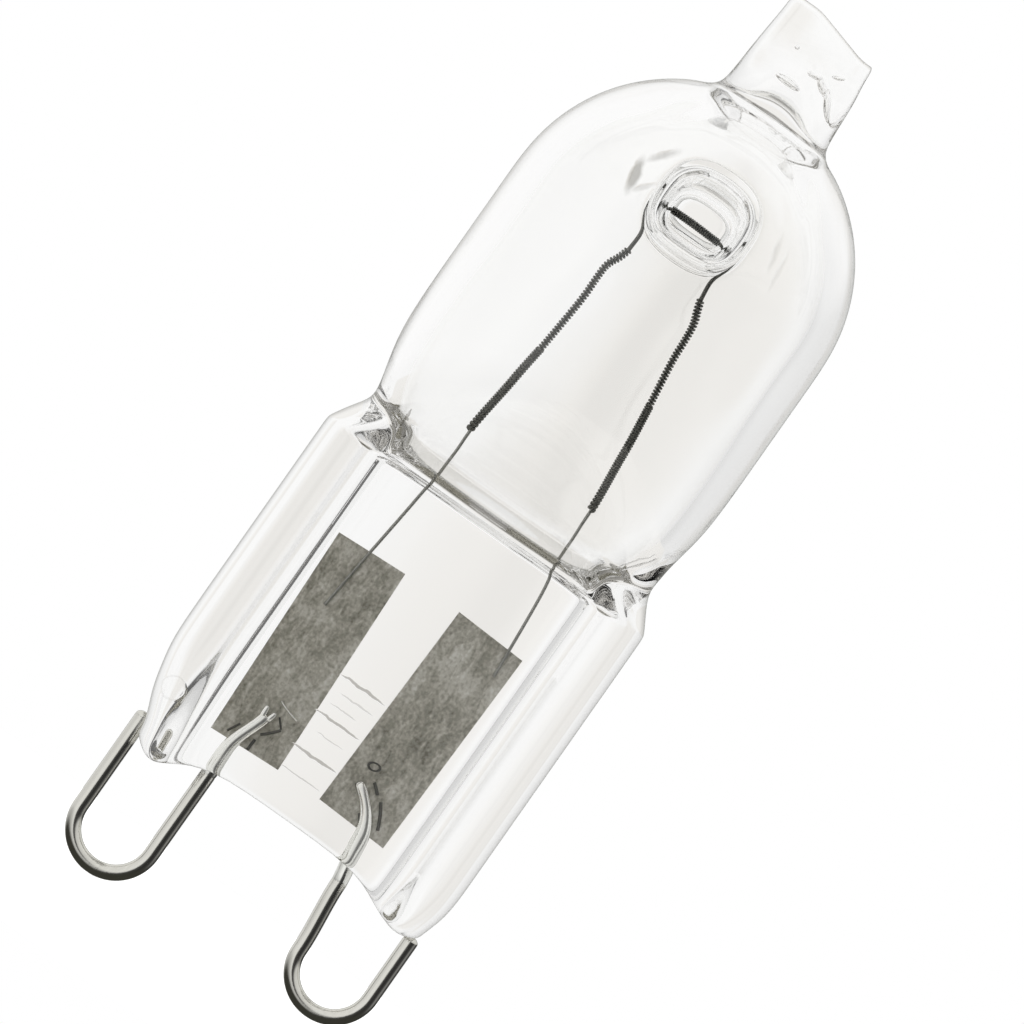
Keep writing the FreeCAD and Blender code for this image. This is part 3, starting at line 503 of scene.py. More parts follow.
def makeFoilMaterial():
    material, tree, foil = newMaterial("crinkledFoil")
    pattern = 0.0
    for layer in ("patches", "streaks", "grain"):
        scale, rise, detail, roughness, distortion, share = foilLook[layer]
        place = objectPlace(tree, rise)
        noise = addNoise(tree, place, scale, detail, roughness, distortion)
        pattern = mathNode(tree, "MULTIPLY_ADD", noise, share, pattern)
    feed(tree, foil, {
        "Metallic": foilLook["metallic"],
        "Roughness": foilLook["roughness"],
        "Base Color": addRamp(tree, pattern, foilLook["tones"]),
        "Normal": addBump(tree, pattern, foilLook["depth"], foilLook["depthStrength"])})
    return material


tungstenSet = {
    "coil": ((0.07, 0.07, 0.062), (0.16, 0.16, 0.14), 0.42),    # darkest and lightest colour, roughness
    "lead": ((0.22, 0.22, 0.2), (0.38, 0.38, 0.35), 0.3),
    "metallic": 0.8,
    "grainScale": 5000.0,
}


def makeTungsten(name, low, high, roughness):
    material, tree, metal = newMaterial(name)
    grain = addNoise(tree, objectPlace(tree), tungstenSet["grainScale"], 3.0)
    color = mixColors(tree, grain, low, high)
    feed(tree, metal, {"Metallic": tungstenSet["metallic"], "Roughness": roughness, "Base Color": color})
    return material


quartz = makeGlass()
pinSteel = makeSteel("drawnPinWire", *steelSet["pin"])
bladeSteel = makeSteel("flattenedWire", *steelSet["blade"])
foilMetal = makeFoilMaterial()
coilMetal = makeTungsten("coiledTungsten", *tungstenSet["coil"])
leadMetal = makeTungsten("drawnLeadWire", *tungstenSet["lead"])
print("materials made")


# Glass envelope. Each ring has 32 points: the left side first, then the front, the right side and the back.
envelopeSet = {
    "ringPoints": 32,
    "smoothLevels": 2,
    "tubeRadius": 6.35,
    "domeCentre": 23.35,
    # the seal's section at its foot: level, share of its width and of its depth, share of the feet, height
    "footRings": [(-0.3, 0.98, 0.72, 1.0, 0.0), (-0.2, 1.0, 0.93, 1.0, 0.05), (-0.1, 1.0, 1.0, 0.98, 0.24),
                  (0.4, 1.0, 1.0, 0.7, 0.62), (1.2, 1.0, 1.0, 0.2, 1.2), (2.1, 1.0, 1.0, 0.0, 2.1),
                  (3.0, 1.0, 1.0, 0.0, 3.0)],
    "barRows": (4.2, 6.5, 9.0, 11.2, 12.1),
    "foldStart": (0.2, 12.27),
    "folds": (("fold", 12.42), ("ledge", 13.12)),
    # the neck and shoulder: height, half width, half depth and squareness
    "neck": [(13.65, 5.72, 3.5, 3.8), (14.15, 5.78, 4.2, 3.3), (14.6, 5.89, 4.68, 3.0),
             (15.1, 6.03, 5.13, 2.7), (15.7, 6.17, 5.58, 2.45), (16.4, 6.28, 5.98, 2.22),
             (17.2, 6.33, 6.28, 2.06)],
    "rightNeck": (0.16, 13.9, 0.8),    # how much further out its right side stays, at what height, how far
    "tubeRows": (18.2, 19.8, 21.3, 22.4),
    "domeTurns": (0, 9, 18, 27, 36, 45, 54, 62),
}
frontSpot, backSpot = 8, 24
# smoothing draws a ring in by this
circleGrowth = 3 / (2 + math.cos(2 * math.pi / envelopeSet["ringPoints"]))


def signedPower(value, power):
    return math.copysign(abs(value) ** power, value)


def squareRing(halfWidth, halfDepth, squareness=2.0):
    # an oval for 2, and ever nearer to a rounded box above that
    ring = []
    for spot in range(envelopeSet["ringPoints"]):
        angle = math.pi + 2 * math.pi * spot / envelopeSet["ringPoints"]
        across = halfWidth * signedPower(math.cos(angle), 2 / squareness)
        away = halfDepth * signedPower(math.sin(angle), 2 / squareness)
        ring.append((across * circleGrowth, away * circleGrowth))
    return ring


def pressedRing(quarter):
    # nine points from the side to the middle, repeated in all four quarters
    ring = []
    for spot in range(envelopeSet["ringPoints"]):
        number, step = divmod(spot, 8)
        across, away = quarter[step if number in (0, 2) else 8 - step]
        ring.append((across * (-1, 1, 1, -1)[number], away * (-1, -1, 1, 1)[number]))
    return ring


def mixedRing(first, second, share):
    return [(a * (1 - share) + c * share, b * (1 - share) + d * share)
            for (a, b), (c, d) in zip(first, second)]


def startRing(name, ring, height):
    # a circle whose points carry their spot and row, so that each new ring knows where they go
    bpy.ops.mesh.primitive_circle_add(vertices=len(ring), radius=mm, location=(0, 0, 0))
    piece = bpy.context.object
    piece.name = name
    openEdit(piece)
    mesh = editMesh(piece)
    spots = mesh.verts.layers.int.new("spot")
    mesh.verts.layers.int.new("row")
    for vertex in mesh.verts:
        angle = math.atan2(vertex.co.y, vertex.co.x) - math.pi
        vertex[spots] = round(angle / (2 * math.pi) * len(ring)) % len(ring)
        vertex.select_set(True)
    mesh.select_flush(True)
    bmesh.update_edit_mesh(piece.data)
    placeRing(piece, ring, height)
    return piece


def ringLayers(mesh):
    return mesh.verts.layers.int["spot"], mesh.verts.layers.int["row"]


def placeRing(piece, ring, height):
    mesh = editMesh(piece)
    spots, rows = ringLayers(mesh)
    row = max(vertex[rows] for vertex in mesh.verts) + 1
    for vertex in mesh.verts:
        if vertex.select:
            across, away = ring[vertex[spots]]
            up = height(across) if callable(height) else height
            vertex.co = Vector((across, away, up)) * mm
            vertex[rows] = row
    bmesh.update_edit_mesh(piece.data)


def extrudeRing(piece, ring, height):
    bpy.ops.mesh.extrude_region_move()
    placeRing(piece, ring, height)


def closeFlat(piece, lowest):
    # closes an open end with strips from its front to its back
    mesh = editMesh(piece)
    spots = mesh.verts.layers.int["spot"]
    middle = sum(vertex.co.z for vertex in mesh.verts) / len(mesh.verts)
    ring = {vertex[spots]: vertex for vertex in mesh.verts
            if vertex.is_boundary and (vertex.co.z < middle) == lowest}
    half = len(ring) // 2
    for step in range(1, half - 1):
        mesh.faces.new([ring[step], ring[step + 1], ring[2 * half - step - 1], ring[2 * half - step]])
    mesh.faces.new([ring[0], ring[1], ring[2 * half - 1]])
    mesh.faces.new([ring[half - 1], ring[half], ring[half + 1]])
    bmesh.update_edit_mesh(piece.data)


# The seal's half sections, from the side to the middle
sealSections = {
    "bar": [(6.62, 0), (6.62, 1.6), (6.24, 2.42), (5.65, 2.62), (5.1, 2.42), (4.73, 1.9), (4.32, 1.42),
            (3.1, 1.3), (0, 1.3)],
    "fold": [(6.56, 0), (6.54, 1.6), (6.16, 2.42), (5.55, 2.68), (5.05, 2.58), (4.68, 2.15), (4.25, 1.7),
             (2.9, 1.56), (0, 1.56)],
    "ledge": [(6.16, 0), (6.08, 1.4), (5.72, 2.3), (5.2, 2.86), (4.75, 3.0), (4.4, 2.92), (3.9, 2.78),
              (2.4, 2.7), (0, 2.7)],
}
# The foot: heights of its lower edge by the distance from the middle, and half widths by height
footSet = {
    "left": [(3.1, 0.1), (3.9, -0.46), (4.45, -0.76), (4.8, -0.9), (5.1, -0.84), (5.4, -0.62), (5.8, -0.28)],
    "right": [(3.1, 0.08), (3.9, -0.36), (4.6, -0.66), (5.3, -0.9), (5.8, -0.84), (6.2, -0.68), (6.6, -0.3)],
    "leftHalf": [(-0.3, 5.72), (0.5, 6.0), (1.24, 6.2), (1.92, 6.38), (2.96, 6.6), (3.6, 6.62)],
    "rightHalf": [(-0.6, 6.2), (-0.15, 6.5), (0.5, 6.62), (3.6, 6.62)],
    "cornerRise": 0.35,
    "still": 4.3,    # the section keeps its width up to here
    "full": 6.62,
}


def readTable(table, place):
    if place <= table[0][0]:
        return table[0][1]
    for (low, first), (high, second) in zip(table, table[1:]):
        if place <= high:
            return first + (second - first) * (place - low) / (high - low)
    return table[-1][1]


def footHeight(across):
    # the seal's lower edge: straight under the web, then down to each foot and up at its corner
    return readTable(footSet["left" if across < 0 else "right"], abs(across))


def trimmedBar(level, narrow, thin):
    # the seal's section at a level above its lower edge, cut in at the corners beside the loops
    ring = []
    still, full = footSet["still"], footSet["full"]
    for across, away in pressedRing(sealSections["bar"]):
        if abs(across) > still:
            table = footSet["leftHalf"] if across < 0 else footSet["rightHalf"]
            half = readTable(table, level - (footSet["cornerRise"] if level < 1 else 0))
            across = math.copysign(still + (abs(across) - still) * (half - still) / (full - still), across)
        ring.append((across * narrow, away * thin))
    return ring


def addTube(piece, radius, rows, turns):
    # the round tube, and the dome above it
    for height in rows:
        extrudeRing(piece, squareRing(radius, radius), height)
    for turn in turns:
        half = radius * math.cos(math.radians(turn))
        rise = radius * math.sin(math.radians(turn))
        extrudeRing(piece, squareRing(half, half), envelopeSet["domeCentre"] + rise)


def buildShell():
    shell = None
    for level, narrow, thin, share, height in envelopeSet["footRings"]:
        ring = trimmedBar(level, narrow, thin)

        def edge(across):
            return height + footHeight(across) * share

        if shell is None:
            shell = startRing("glassEnvelope", ring, edge)
        else:
            extrudeRing(shell, ring, edge)
    bar = pressedRing(sealSections["bar"])
    for height in envelopeSet["barRows"]:
        extrudeRing(shell, bar, height)
    share, height = envelopeSet["foldStart"]
    extrudeRing(shell, mixedRing(bar, pressedRing(sealSections["fold"]), share), height)
    for name, height in envelopeSet["folds"]:
        extrudeRing(shell, pressedRing(sealSections[name]), height)
    gain, middle, reach = envelopeSet["rightNeck"]
    for height, half, depth, squareness in envelopeSet["neck"]:
        growth = 1 + gain * math.exp(-((height - middle) / reach) ** 2) / half
        ring = [(across * growth if across > 0 else across, away)
                for across, away in squareRing(half, depth, squareness)]
        extrudeRing(shell, ring, height)
    addTube(shell, envelopeSet["tubeRadius"], envelopeSet["tubeRows"], envelopeSet["domeTurns"])
    return shell


tipSet = {
    "topHalf": 1.87,
    "halfDepth": 1.1,
    "corner": 0.5,
    "leftTop": 33.4,
    "rightTop": 32.8,
    "slope": (-0.75, 2.1),    # where its top begins to fall to the right, and over what width
    # half width, half depth, squareness, share of the rounded box and height
    "rings": [(2.48, 2.56, 2.0, 0.0, 29.14), (2.18, 2.32, 2.0, 0.0, 29.42), (2.1, 2.1, 2.1, 0.3, 29.8),
              (2.06, 1.84, 2.2, 0.6, 30.3), (2.03, 1.56, 2.0, 1.0, 30.9), (1.98, 1.3, 2.0, 1.0, 31.6)],
    # shares of half width and half depth, and how far below the top
    "endRings": [(1.0, 0.98, 0.6), (1.0, 0.93, 0.14), (0.95, 0.72, 0.0)],
}


def tipRing(halfWidth, halfDepth):
    # a rounded box with the same spots as the rings below it
    corner = tipSet["corner"]
    quarter = [(halfWidth, 0), (halfWidth, halfDepth * 0.45), (halfWidth * 0.985, halfDepth * 0.82),
               (halfWidth - corner * 0.35, halfDepth), (halfWidth - corner, halfDepth)]
    quarter += [(halfWidth * share, halfDepth) for share in (0.6, 0.4, 0.2, 0)]
    return pressedRing(quarter)


def tipTop(across):
    start, width = tipSet["slope"]
    share = min(1.0, max(0.0, (across - start) / width))
    return tipSet["leftTop"] + (tipSet["rightTop"] - tipSet["leftTop"]) * share


def addTip(shell):
    for half, depth, squareness, share, height in tipSet["rings"]:
        ring = mixedRing(squareRing(half, depth, squareness), tipRing(half, depth), share)
        extrudeRing(shell, ring, height)
    for narrow, thin, below in tipSet["endRings"]:
        ring = tipRing(tipSet["topHalf"] * narrow, tipSet["halfDepth"] * thin)
        extrudeRing(shell, ring, lambda across: tipTop(across) - below)
    closeFlat(shell, lowest=False)


# Each pinch loop: half width, lowest and highest point, squareness, distance from the middle plane.
# A loop with the distance None lies on the wall, and one with a minus lies that much below it.
dentSet = {
    "outer": [
        (4.3, 21.5, 27.76, 3.0, None), (3.2, 22.3, 27.3, 3.0, None), (2.3, 23.0, 26.96, 3.0, None),
        (1.66, 23.62, 26.66, 3.4, None), (1.54, 23.76, 26.54, 3.8, -0.05), (1.49, 23.81, 26.47, 4.0, -0.3),
        (1.45, 23.85, 26.4, 4.2, -1.0), (1.42, 23.88, 26.32, 4.2, -2.2), (1.39, 23.92, 26.22, 4.2, 2.4),
        (1.35, 23.99, 26.1, 4.2, 1.5), (1.29, 24.12, 25.97, 4.0, 0.95), (1.18, 24.38, 25.82, 4.0, 0.76),
        (0.9, 24.7, 25.65, 3.2, 0.72)],
    "inner": [
        (3.7, 21.6, 27.46, 2.6, None), (2.8, 22.4, 27.1, 2.8, None), (2.2, 23.05, 26.88, 3.0, None),
        (1.76, 23.5, 26.74, 3.2, None), (1.66, 23.62, 26.69, 3.6, -0.06), (1.61, 23.67, 26.66, 3.8, -0.35),
        (1.58, 23.7, 26.64, 4.0, -1.2), (1.56, 23.72, 26.63, 4.2, 2.2), (1.54, 23.74, 26.62, 4.4, 1.3),
        (1.53, 23.76, 26.62, 4.6, 0.5), (1.52, 23.77, 26.62, 4.6, 0.2)],
    "archSquareness": 2.5,    # of the upper half, and by side of these loops' lower half too
    "outerRound": {-1: (2, 4, 6, 8, 10, 12), 1: (1, 3, 5, 7, 9, 11)},
    "innerRound": {-1: (2, 4, 6, 8, 10), 1: range(1, 11)},
    "columns": 4,
    "stepIn": 0.1,            # each loop lies at least this much below the one before
    "outerRows": (21.3, 27.84),
    "innerRows": (21.4, 27.57),
}


def wallDepth(radius, across, up):
    above = max(0.0, up - envelopeSet["domeCentre"])
    return math.sqrt(max(0.04, radius ** 2 - across ** 2 - above ** 2))


def nearestRow(piece, height):
    mesh = editMesh(piece)
    spots, rows = ringLayers(mesh)
    side = [vertex for vertex in mesh.verts if vertex[spots] == 0]
    return min(side, key=lambda vertex: abs(vertex.co.z / mm - height))[rows]


def pressIn(piece, side, wall, radius):
    # a jaw pushes the outer or the inner wall in, loop after loop
    middle = frontSpot if side < 0 else backSpot
    reach = dentSet["columns"]
    low, high = (nearestRow(piece, height) for height in dentSet[wall + "Rows"])
    bpy.ops.mesh.select_mode(type="FACE")
    bpy.ops.mesh.select_all(action="DESELECT")
    mesh = editMesh(piece)
    spots, rows = ringLayers(mesh)
    for face in mesh.faces:
        inside = all(abs(v[spots] - middle) <= reach and low <= v[rows] <= high for v in face.verts)
        face.select_set(inside and len({v[rows] for v in face.verts}) == 2)
    bmesh.update_edit_mesh(piece.data)
    for number, (half, lowest, highest, squareness, depth) in enumerate(dentSet[wall]):
        if number:
            bpy.ops.mesh.extrude_region_move()
        mesh = editMesh(piece)
        spots, rows = ringLayers(mesh)
        for vertex in mesh.verts:
            if not vertex.select:
                continue
            across = -side * (vertex[spots] - middle) / reach
            up = (2 * vertex[rows] - low - high) / (high - low)
            share, turn = max(abs(across), abs(up)), math.atan2(up, across)
            arched = up > 0 or number in dentSet[wall + "Round"][side]
            power = 2 / (min(squareness, dentSet["archSquareness"]) if arched else squareness)
            x = half * share * signedPower(math.cos(turn), power)
            z = (lowest + highest) / 2
            z += (highest - lowest) / 2 * share * signedPower(math.sin(turn), power)
            y = wallDepth(radius * circleGrowth, x, z)
            if depth is not None:
                y = y + depth if depth < 0 else min(depth, y - dentSet["stepIn"] * number)
            vertex.co = Vector((x, y * side, z)) * mm
        bmesh.update_edit_mesh(piece.data)


cavitySet = {
    "innerRadius": 5.35,
    # half width, half depth, squareness and height of the floor, which bends up towards its sides
    "floor": (3.95, 0.22, 3.0, 13.04),
    "floorHalf": 4.3,
    "floorBend": 0.14,
    "bendTop": 13.6,
    # height, half width, half depth and squareness
    "levels": [(13.08, 4.25, 0.5, 3.0), (13.2, 4.44, 0.85, 3.4), (13.4, 4.6, 1.2, 3.9),
               (13.66, 4.72, 1.7, 3.9), (14.05, 4.78, 2.5, 3.3), (14.5, 4.88, 3.1, 3.0),
               (15.1, 5.06, 3.74, 2.7), (15.8, 5.2, 4.42, 2.42), (16.5, 5.29, 4.92, 2.2),
               (17.3, 5.34, 5.25, 2.05)],
    "tubeRows": (18.4, 20.0, 21.4, 22.4),
    "domeTurns": (1.5, 10.5, 19.5, 28.5, 38, 52, 63),
    "crown": ((28.42, 1.72), (28.61, 1.0), (28.68, 0.5)),    # height and radius
}


def buildCavity():
    def bentFloor(height, share):
        bend = cavitySet["floorBend"] * share
        return lambda across: height + bend * (across / cavitySet["floorHalf"]) ** 2

    half, depth, squareness, height = cavitySet["floor"]
    cavity = startRing("cavity", squareRing(half, depth, squareness), bentFloor(height, 1))
    for height, half, depth, squareness in cavitySet["levels"]:
        edge = bentFloor(height, max(0, cavitySet["bendTop"] - height))
        extrudeRing(cavity, squareRing(half, depth, squareness), edge)
    addTube(cavity, cavitySet["innerRadius"], cavitySet["tubeRows"], cavitySet["domeTurns"])
    for height, half in cavitySet["crown"]:
        extrudeRing(cavity, squareRing(half, half), height)
    bpy.ops.mesh.merge(type="CENTER")
    closeFlat(cavity, lowest=True)
    return cavity


def joinColumn(cavity):
    # the fused column crosses the cavity: both sides are pushed in and joined
    for side in (-1, 1):
        pressIn(cavity, side, "inner", cavitySet["innerRadius"])
        bpy.ops.mesh.delete(type="FACE")
    bpy.ops.mesh.select_mode(type="EDGE")
    bpy.ops.mesh.select_all(action="DESELECT")
    mesh = editMesh(cavity)
    for edge in mesh.edges:
        edge.select_set(edge.is_boundary)
    bmesh.update_edit_mesh(cavity.data)
    bpy.ops.mesh.bridge_edge_loops(number_cuts=0)


# Centre, half sizes and turn of each small void that the seal, the fused column and the tip have
bubbleSet = [
    ((-3.62, 0.0, 12.66), (0.62, 0.3, 0.2), 4),
    ((3.5, -0.1, 12.86), (0.2, 0.2, 0.1), 0),
    ((3.98, 0.1, 12.64), (0.13, 0.16, 0.13), 0),
    ((0.08, 0.0, 24.22), (1.12, 0.22, 0.18), 0),
    ((-0.28, 0.1, 30.5), (0.5, 0.3, 0.17), -4),
    ((-0.72, 0.2, 31.78), (0.1, 0.1, 0.09), 0),
    ((0.75, 0.15, 31.1), (0.42, 0.3, 0.15), -40),
    ((1.2, 0.0, 30.75), (0.5, 0.3, 0.15), -62),
    ((0.35, -0.2, 31.3), (0.3, 0.25, 0.13), 12),
    ((1.05, 0.1, 31.7), (0.24, 0.2, 0.1), 25),
]


def addBubble(place, halves, turn):
    bpy.ops.mesh.primitive_uv_sphere_add(segments=24, ring_count=12, radius=mm, location=(0, 0, 0))
    bubble = bpy.context.object
    bubble.name = "bubble"
    bubble.matrix_world = (Matrix.Translation(Vector(place) * mm)
                           @ Matrix.Rotation(math.radians(-turn), 4, "Y") @ Matrix.Diagonal((*halves, 1)))
    bakePlace(bubble)
    turnNormals(bubble, inside=True)
    return bubble


shell = buildShell()
addTip(shell)
for side in (-1, 1):
    pressIn(shell, side, "outer", envelopeSet["tubeRadius"])
closeFlat(shell, lowest=True)
closeEdit()
turnNormals(shell, inside=False)
addSubdivision(shell, envelopeSet["smoothLevels"])
cavity = buildCavity()
joinColumn(cavity)
closeEdit()
turnNormals(cavity, inside=True)
addSubdivision(cavity, envelopeSet["smoothLevels"])
bubbles = [addBubble(*bubble) for bubble in bubbleSet]
joinInto(shell, [cavity] + bubbles)
shadeSmooth(shell)
shell.data.materials.append(quartz)
dress(shell, "envelope")
print("envelope blown:", len(shell.data.polygons), "faces")


# Wires: thin tubes along given routes, and coils wound about them
wireSet = {
    "plane": 0.05,    # how far they lie behind the middle
    "leadRadius": 0.06,
    "tailRadius": 0.075,
    # coils: outer radius, radius of the wire and rise of each turn
    "sleeve": (0.165, 0.045, 0.1),
    "coil": (0.145, 0.04, 0.12),
    "bridge": (0.16, 0.036, 0.085),
    "wireSides": 7,
    "turnSteps": 14,
}
routeSet = {
    "leftLead": [(-3.0, 6.9), (-2.9, 8.0), (-2.72, 9.6), (-2.48, 11.8), (-2.4, 13.0), (-2.36, 14.3),
                 (-2.4, 14.95), (-2.22, 16.3), (-1.98, 18.1)],
    "rightLead": [(3.2, 8.2), (3.12, 9.3), (2.92, 11.6), (2.72, 12.6), (2.76, 13.4), (2.75, 14.3),
                  (2.72, 14.8), (2.5, 16.3), (2.24, 18.7)],
    "leftSleeve": [(-2.42, 14.88), (-2.2, 16.4), (-1.97, 18.3)],
    "rightSleeve": [(2.68, 14.93), (2.46, 16.8), (2.22, 18.9)],
    "leftCoil": [(-1.98, 18.25), (-1.8, 20.3), (-1.86, 21.55), (-1.82, 22.1), (-1.55, 22.55), (-1.44, 22.9)],
    "rightCoil": [(2.22, 18.85), (1.99, 20.5), (1.98, 21.45), (1.9, 22.1), (1.66, 22.6), (1.56, 22.9)],
    "leftTail": [(-1.46, 22.8), (-1.4, 23.3), (-1.43, 23.8), (-1.55, 24.2), (-1.58, 24.55), (-1.4, 24.8),
                 (-1.05, 24.84)],
    "rightTail": [(1.58, 22.8), (1.48, 23.3), (1.48, 23.8), (1.55, 24.2), (1.52, 24.55), (1.3, 24.78),
                  (0.95, 24.82)],
    "bridge": [(-1.1, 24.84), (-0.4, 24.87), (0.3, 24.85), (1.0, 24.81)],
}


def addRoute(name, points, plane):
    bpy.ops.curve.primitive_nurbs_path_add()
    route = bpy.context.object
    route.name = name
    route.data.splines.clear()
    spline = route.data.splines.new("NURBS")
    spline.points.add(len(points) - 1)
    for point, (across, up) in zip(spline.points, points):
        point.co = (across * mm, plane * mm, up * mm, 1.0)
    spline.order_u = 3
    spline.use_endpoint_u = True
    spline.resolution_u = 16
    return route


def addWire(name, points, radius, material, plane=wireSet["plane"]):
    wire = addRoute(name, points, plane)
    wire.data.bevel_depth = radius * mm
    wire.data.bevel_resolution = 4
    wire.data.use_fill_caps = True
    turnCurveToMesh(wire, material)
    return wire


def routeLength(route):
    mesh = bpy.data.meshes.new_from_object(route)
    places = [vertex.co.copy() for vertex in mesh.vertices]
    bpy.data.meshes.remove(mesh)
    return sum((after - before).length for before, after in zip(places, places[1:]))


def addCoil(name, points, outerRadius, wireRadius, pitch):
    # one turn of wire is screwed up along Z, and then follows the route
    route = addRoute(name + "Route", points, wireSet["plane"])
    length = routeLength(route)
    turns = max(1, round(length / (pitch * mm)))
    bpy.ops.mesh.primitive_circle_add(vertices=wireSet["wireSides"], radius=wireRadius * mm,
                                      rotation=(math.radians(90), 0, 0),
                                      location=((outerRadius - wireRadius) * mm, 0, 0))
    coil = bpy.context.object
    coil.name = name
    bakePlace(coil)
    screw = coil.modifiers.new("winding", "SCREW")
    screw.axis = "Z"
    screw.screw_offset = length / turns
    screw.iterations = turns
    screw.steps = screw.render_steps = wireSet["turnSteps"]
    follow = coil.modifiers.new("follow", "CURVE")
    follow.object = route
    follow.deform_axis = "POS_Z"
    applyAll(coil)
    bpy.data.objects.remove(route)
    shadeSmooth(coil)
    coil.data.materials.append(coilMetal)
    return coil


for side in ("left", "right"):
    lead = addWire(side + "Lead", routeSet[side + "Lead"], wireSet["leadRadius"], leadMetal)
    dress(lead, "lead_" + side)
    sleeve = addCoil(side + "Sleeve", routeSet[side + "Sleeve"], *wireSet["sleeve"])
    dress(sleeve, "sleeve_" + side)
    coil = addCoil(side + "Coil", routeSet[side + "Coil"], *wireSet["coil"])
    dress(coil, "filament")
    tail = addWire(side + "Tail", routeSet[side + "Tail"], wireSet["tailRadius"], coilMetal)
    dress(tail, "filament")
bridge = addCoil("bridgeCoil", routeSet["bridge"], *wireSet["bridge"])
dress(bridge, "filament")
print("wires wound")


# Foils, by the corners of each: lower left, lower right, upper right, upper left
foilSet = {
    "left": [(-3.84, 1.2), (-1.04, 1.33), (-1.33, 9.35), (-4.13, 9.22)],
    "right": [(0.7, 1.33), (3.5, 1.2), (3.74, 9.22), (0.94, 9.35)],
    "thick": 0.03,
    "plane": 0.17,
    "cuts": (24, 64),
    "crinkleScale": 0.0009,
    "crinkleDepth": 0.00006,
}


def addFoil(side):
    bpy.ops.mesh.primitive_grid_add(x_subdivisions=foilSet["cuts"][0], y_subdivisions=foilSet["cuts"][1],
                                    size=2.0, location=(0, 0, 0))
    foil = bpy.context.object
    foil.name = side + "Foil"
    low, lowRight, highRight, high = [Vector(corner) for corner in foilSet[side]]
    for vertex in foil.data.vertices:
        share, rise = (vertex.co.x + 1) / 2, (vertex.co.y + 1) / 2
        place = low.lerp(lowRight, share).lerp(high.lerp(highRight, share), rise)
        vertex.co = Vector((place.x, foilSet["plane"], place.y)) * mm
    texture = bpy.data.textures.new(side + "Crinkle", "CLOUDS")
    texture.noise_scale = foilSet["crinkleScale"]
    texture.noise_depth = 2
    crinkle = foil.modifiers.new("crinkle", "DISPLACE")
    crinkle.texture = texture
    crinkle.strength = foilSet["crinkleDepth"]
    crinkle.mid_level = 0.5
    wall = foil.modifiers.new("wall", "SOLIDIFY")
    wall.thickness = foilSet["thick"] * mm
    wall.offset = 0.0
    applyAll(foil)
    shadeSmooth(foil, 40)
    foil.data.materials.append(foilMetal)
    dress(foil, "foil_" + side)


weldSet = {"radius": 0.22, "thick": 0.05, "lean": -12, "shares": (0.95, 0.62, 1.0),
           "place": (1.61, 0.14, 3.32)}


def addWeld():
    # the ring that the welding left on the right foil
    bpy.ops.mesh.primitive_torus_add(major_segments=40, major_radius=weldSet["radius"] * mm,
                                     minor_segments=10, minor_radius=weldSet["thick"] * mm,
                                     rotation=(math.radians(90), math.radians(weldSet["lean"]), 0))
    weld = bpy.context.object
    weld.name = "rightWeld"
    weld.scale = weldSet["shares"]
    weld.location = Vector(weldSet["place"]) * mm
    bakePlace(weld)
    shadeSmooth(weld)
    weld.data.materials.append(coilMetal)
    dress(weld, "foil_right")


for side in ("left", "right"):
    addFoil(side)
addWeld()
print("foils laid")


# Pins: a wire loop whose inner leg ends as a flattened spade on the foil. Sign is the side it lies on.
pinSet = {
    "radius": 0.285,
    "freeEnd": 0.2,           # how far the outer leg's end is rounded
    "circleHandle": 0.5523,
    "left": {"sign": -1, "outer": -5.89, "inner": -2.93, "bend": -3.55, "free": 0.15,
             "entry": -2.92, "top": -0.2},
    "right": {"sign": 1, "outer": 6.07, "inner": 3.11, "bend": -3.3, "free": -0.9,
              "entry": 2.9, "top": -0.6},
}


def addPin(side):
    values = pinSet[side]
    sign, radius = values["sign"], pinSet["radius"]
    middle = (values["outer"] + values["inner"]) / 2
    bendRadius = abs(values["outer"] - values["inner"]) / 2
    bpy.ops.curve.primitive_bezier_curve_add()
    pin = bpy.context.object
    pin.name = side + "Pin"
    spline = pin.data.splines[0]
    spline.bezier_points.add(3)
    handle = bendRadius * pinSet["circleHandle"]
    places = [
        ((values["outer"], values["free"]), (0, -1.0), (0, -1.0)),
        ((values["outer"], values["bend"]), (0, 0.6), (0, -handle)),
        ((middle, values["bend"] - bendRadius), (handle * sign, 0), (-handle * sign, 0)),
        ((values["inner"], values["bend"]), (0, -handle), (0, 0.8)),
        ((values["entry"], values["top"]), (0, -0.8), (0, 0.3)),
    ]
    for point, ((across, up), before, after) in zip(spline.bezier_points, places):
        point.handle_left_type = point.handle_right_type = "FREE"
        point.co = (across * mm, 0, up * mm)
        point.handle_left = ((across + before[0]) * mm, 0, (up + before[1]) * mm)
        point.handle_right = ((across + after[0]) * mm, 0, (up + after[1]) * mm)
    pin.data.dimensions = "3D"
    pin.data.resolution_u = 24
    pin.data.bevel_depth = radius * mm
    pin.data.bevel_resolution = 6
    pin.data.use_fill_caps = True
    turnCurveToMesh(pin, pinSteel)
    dress(pin, "pin_" + side)
    return pin


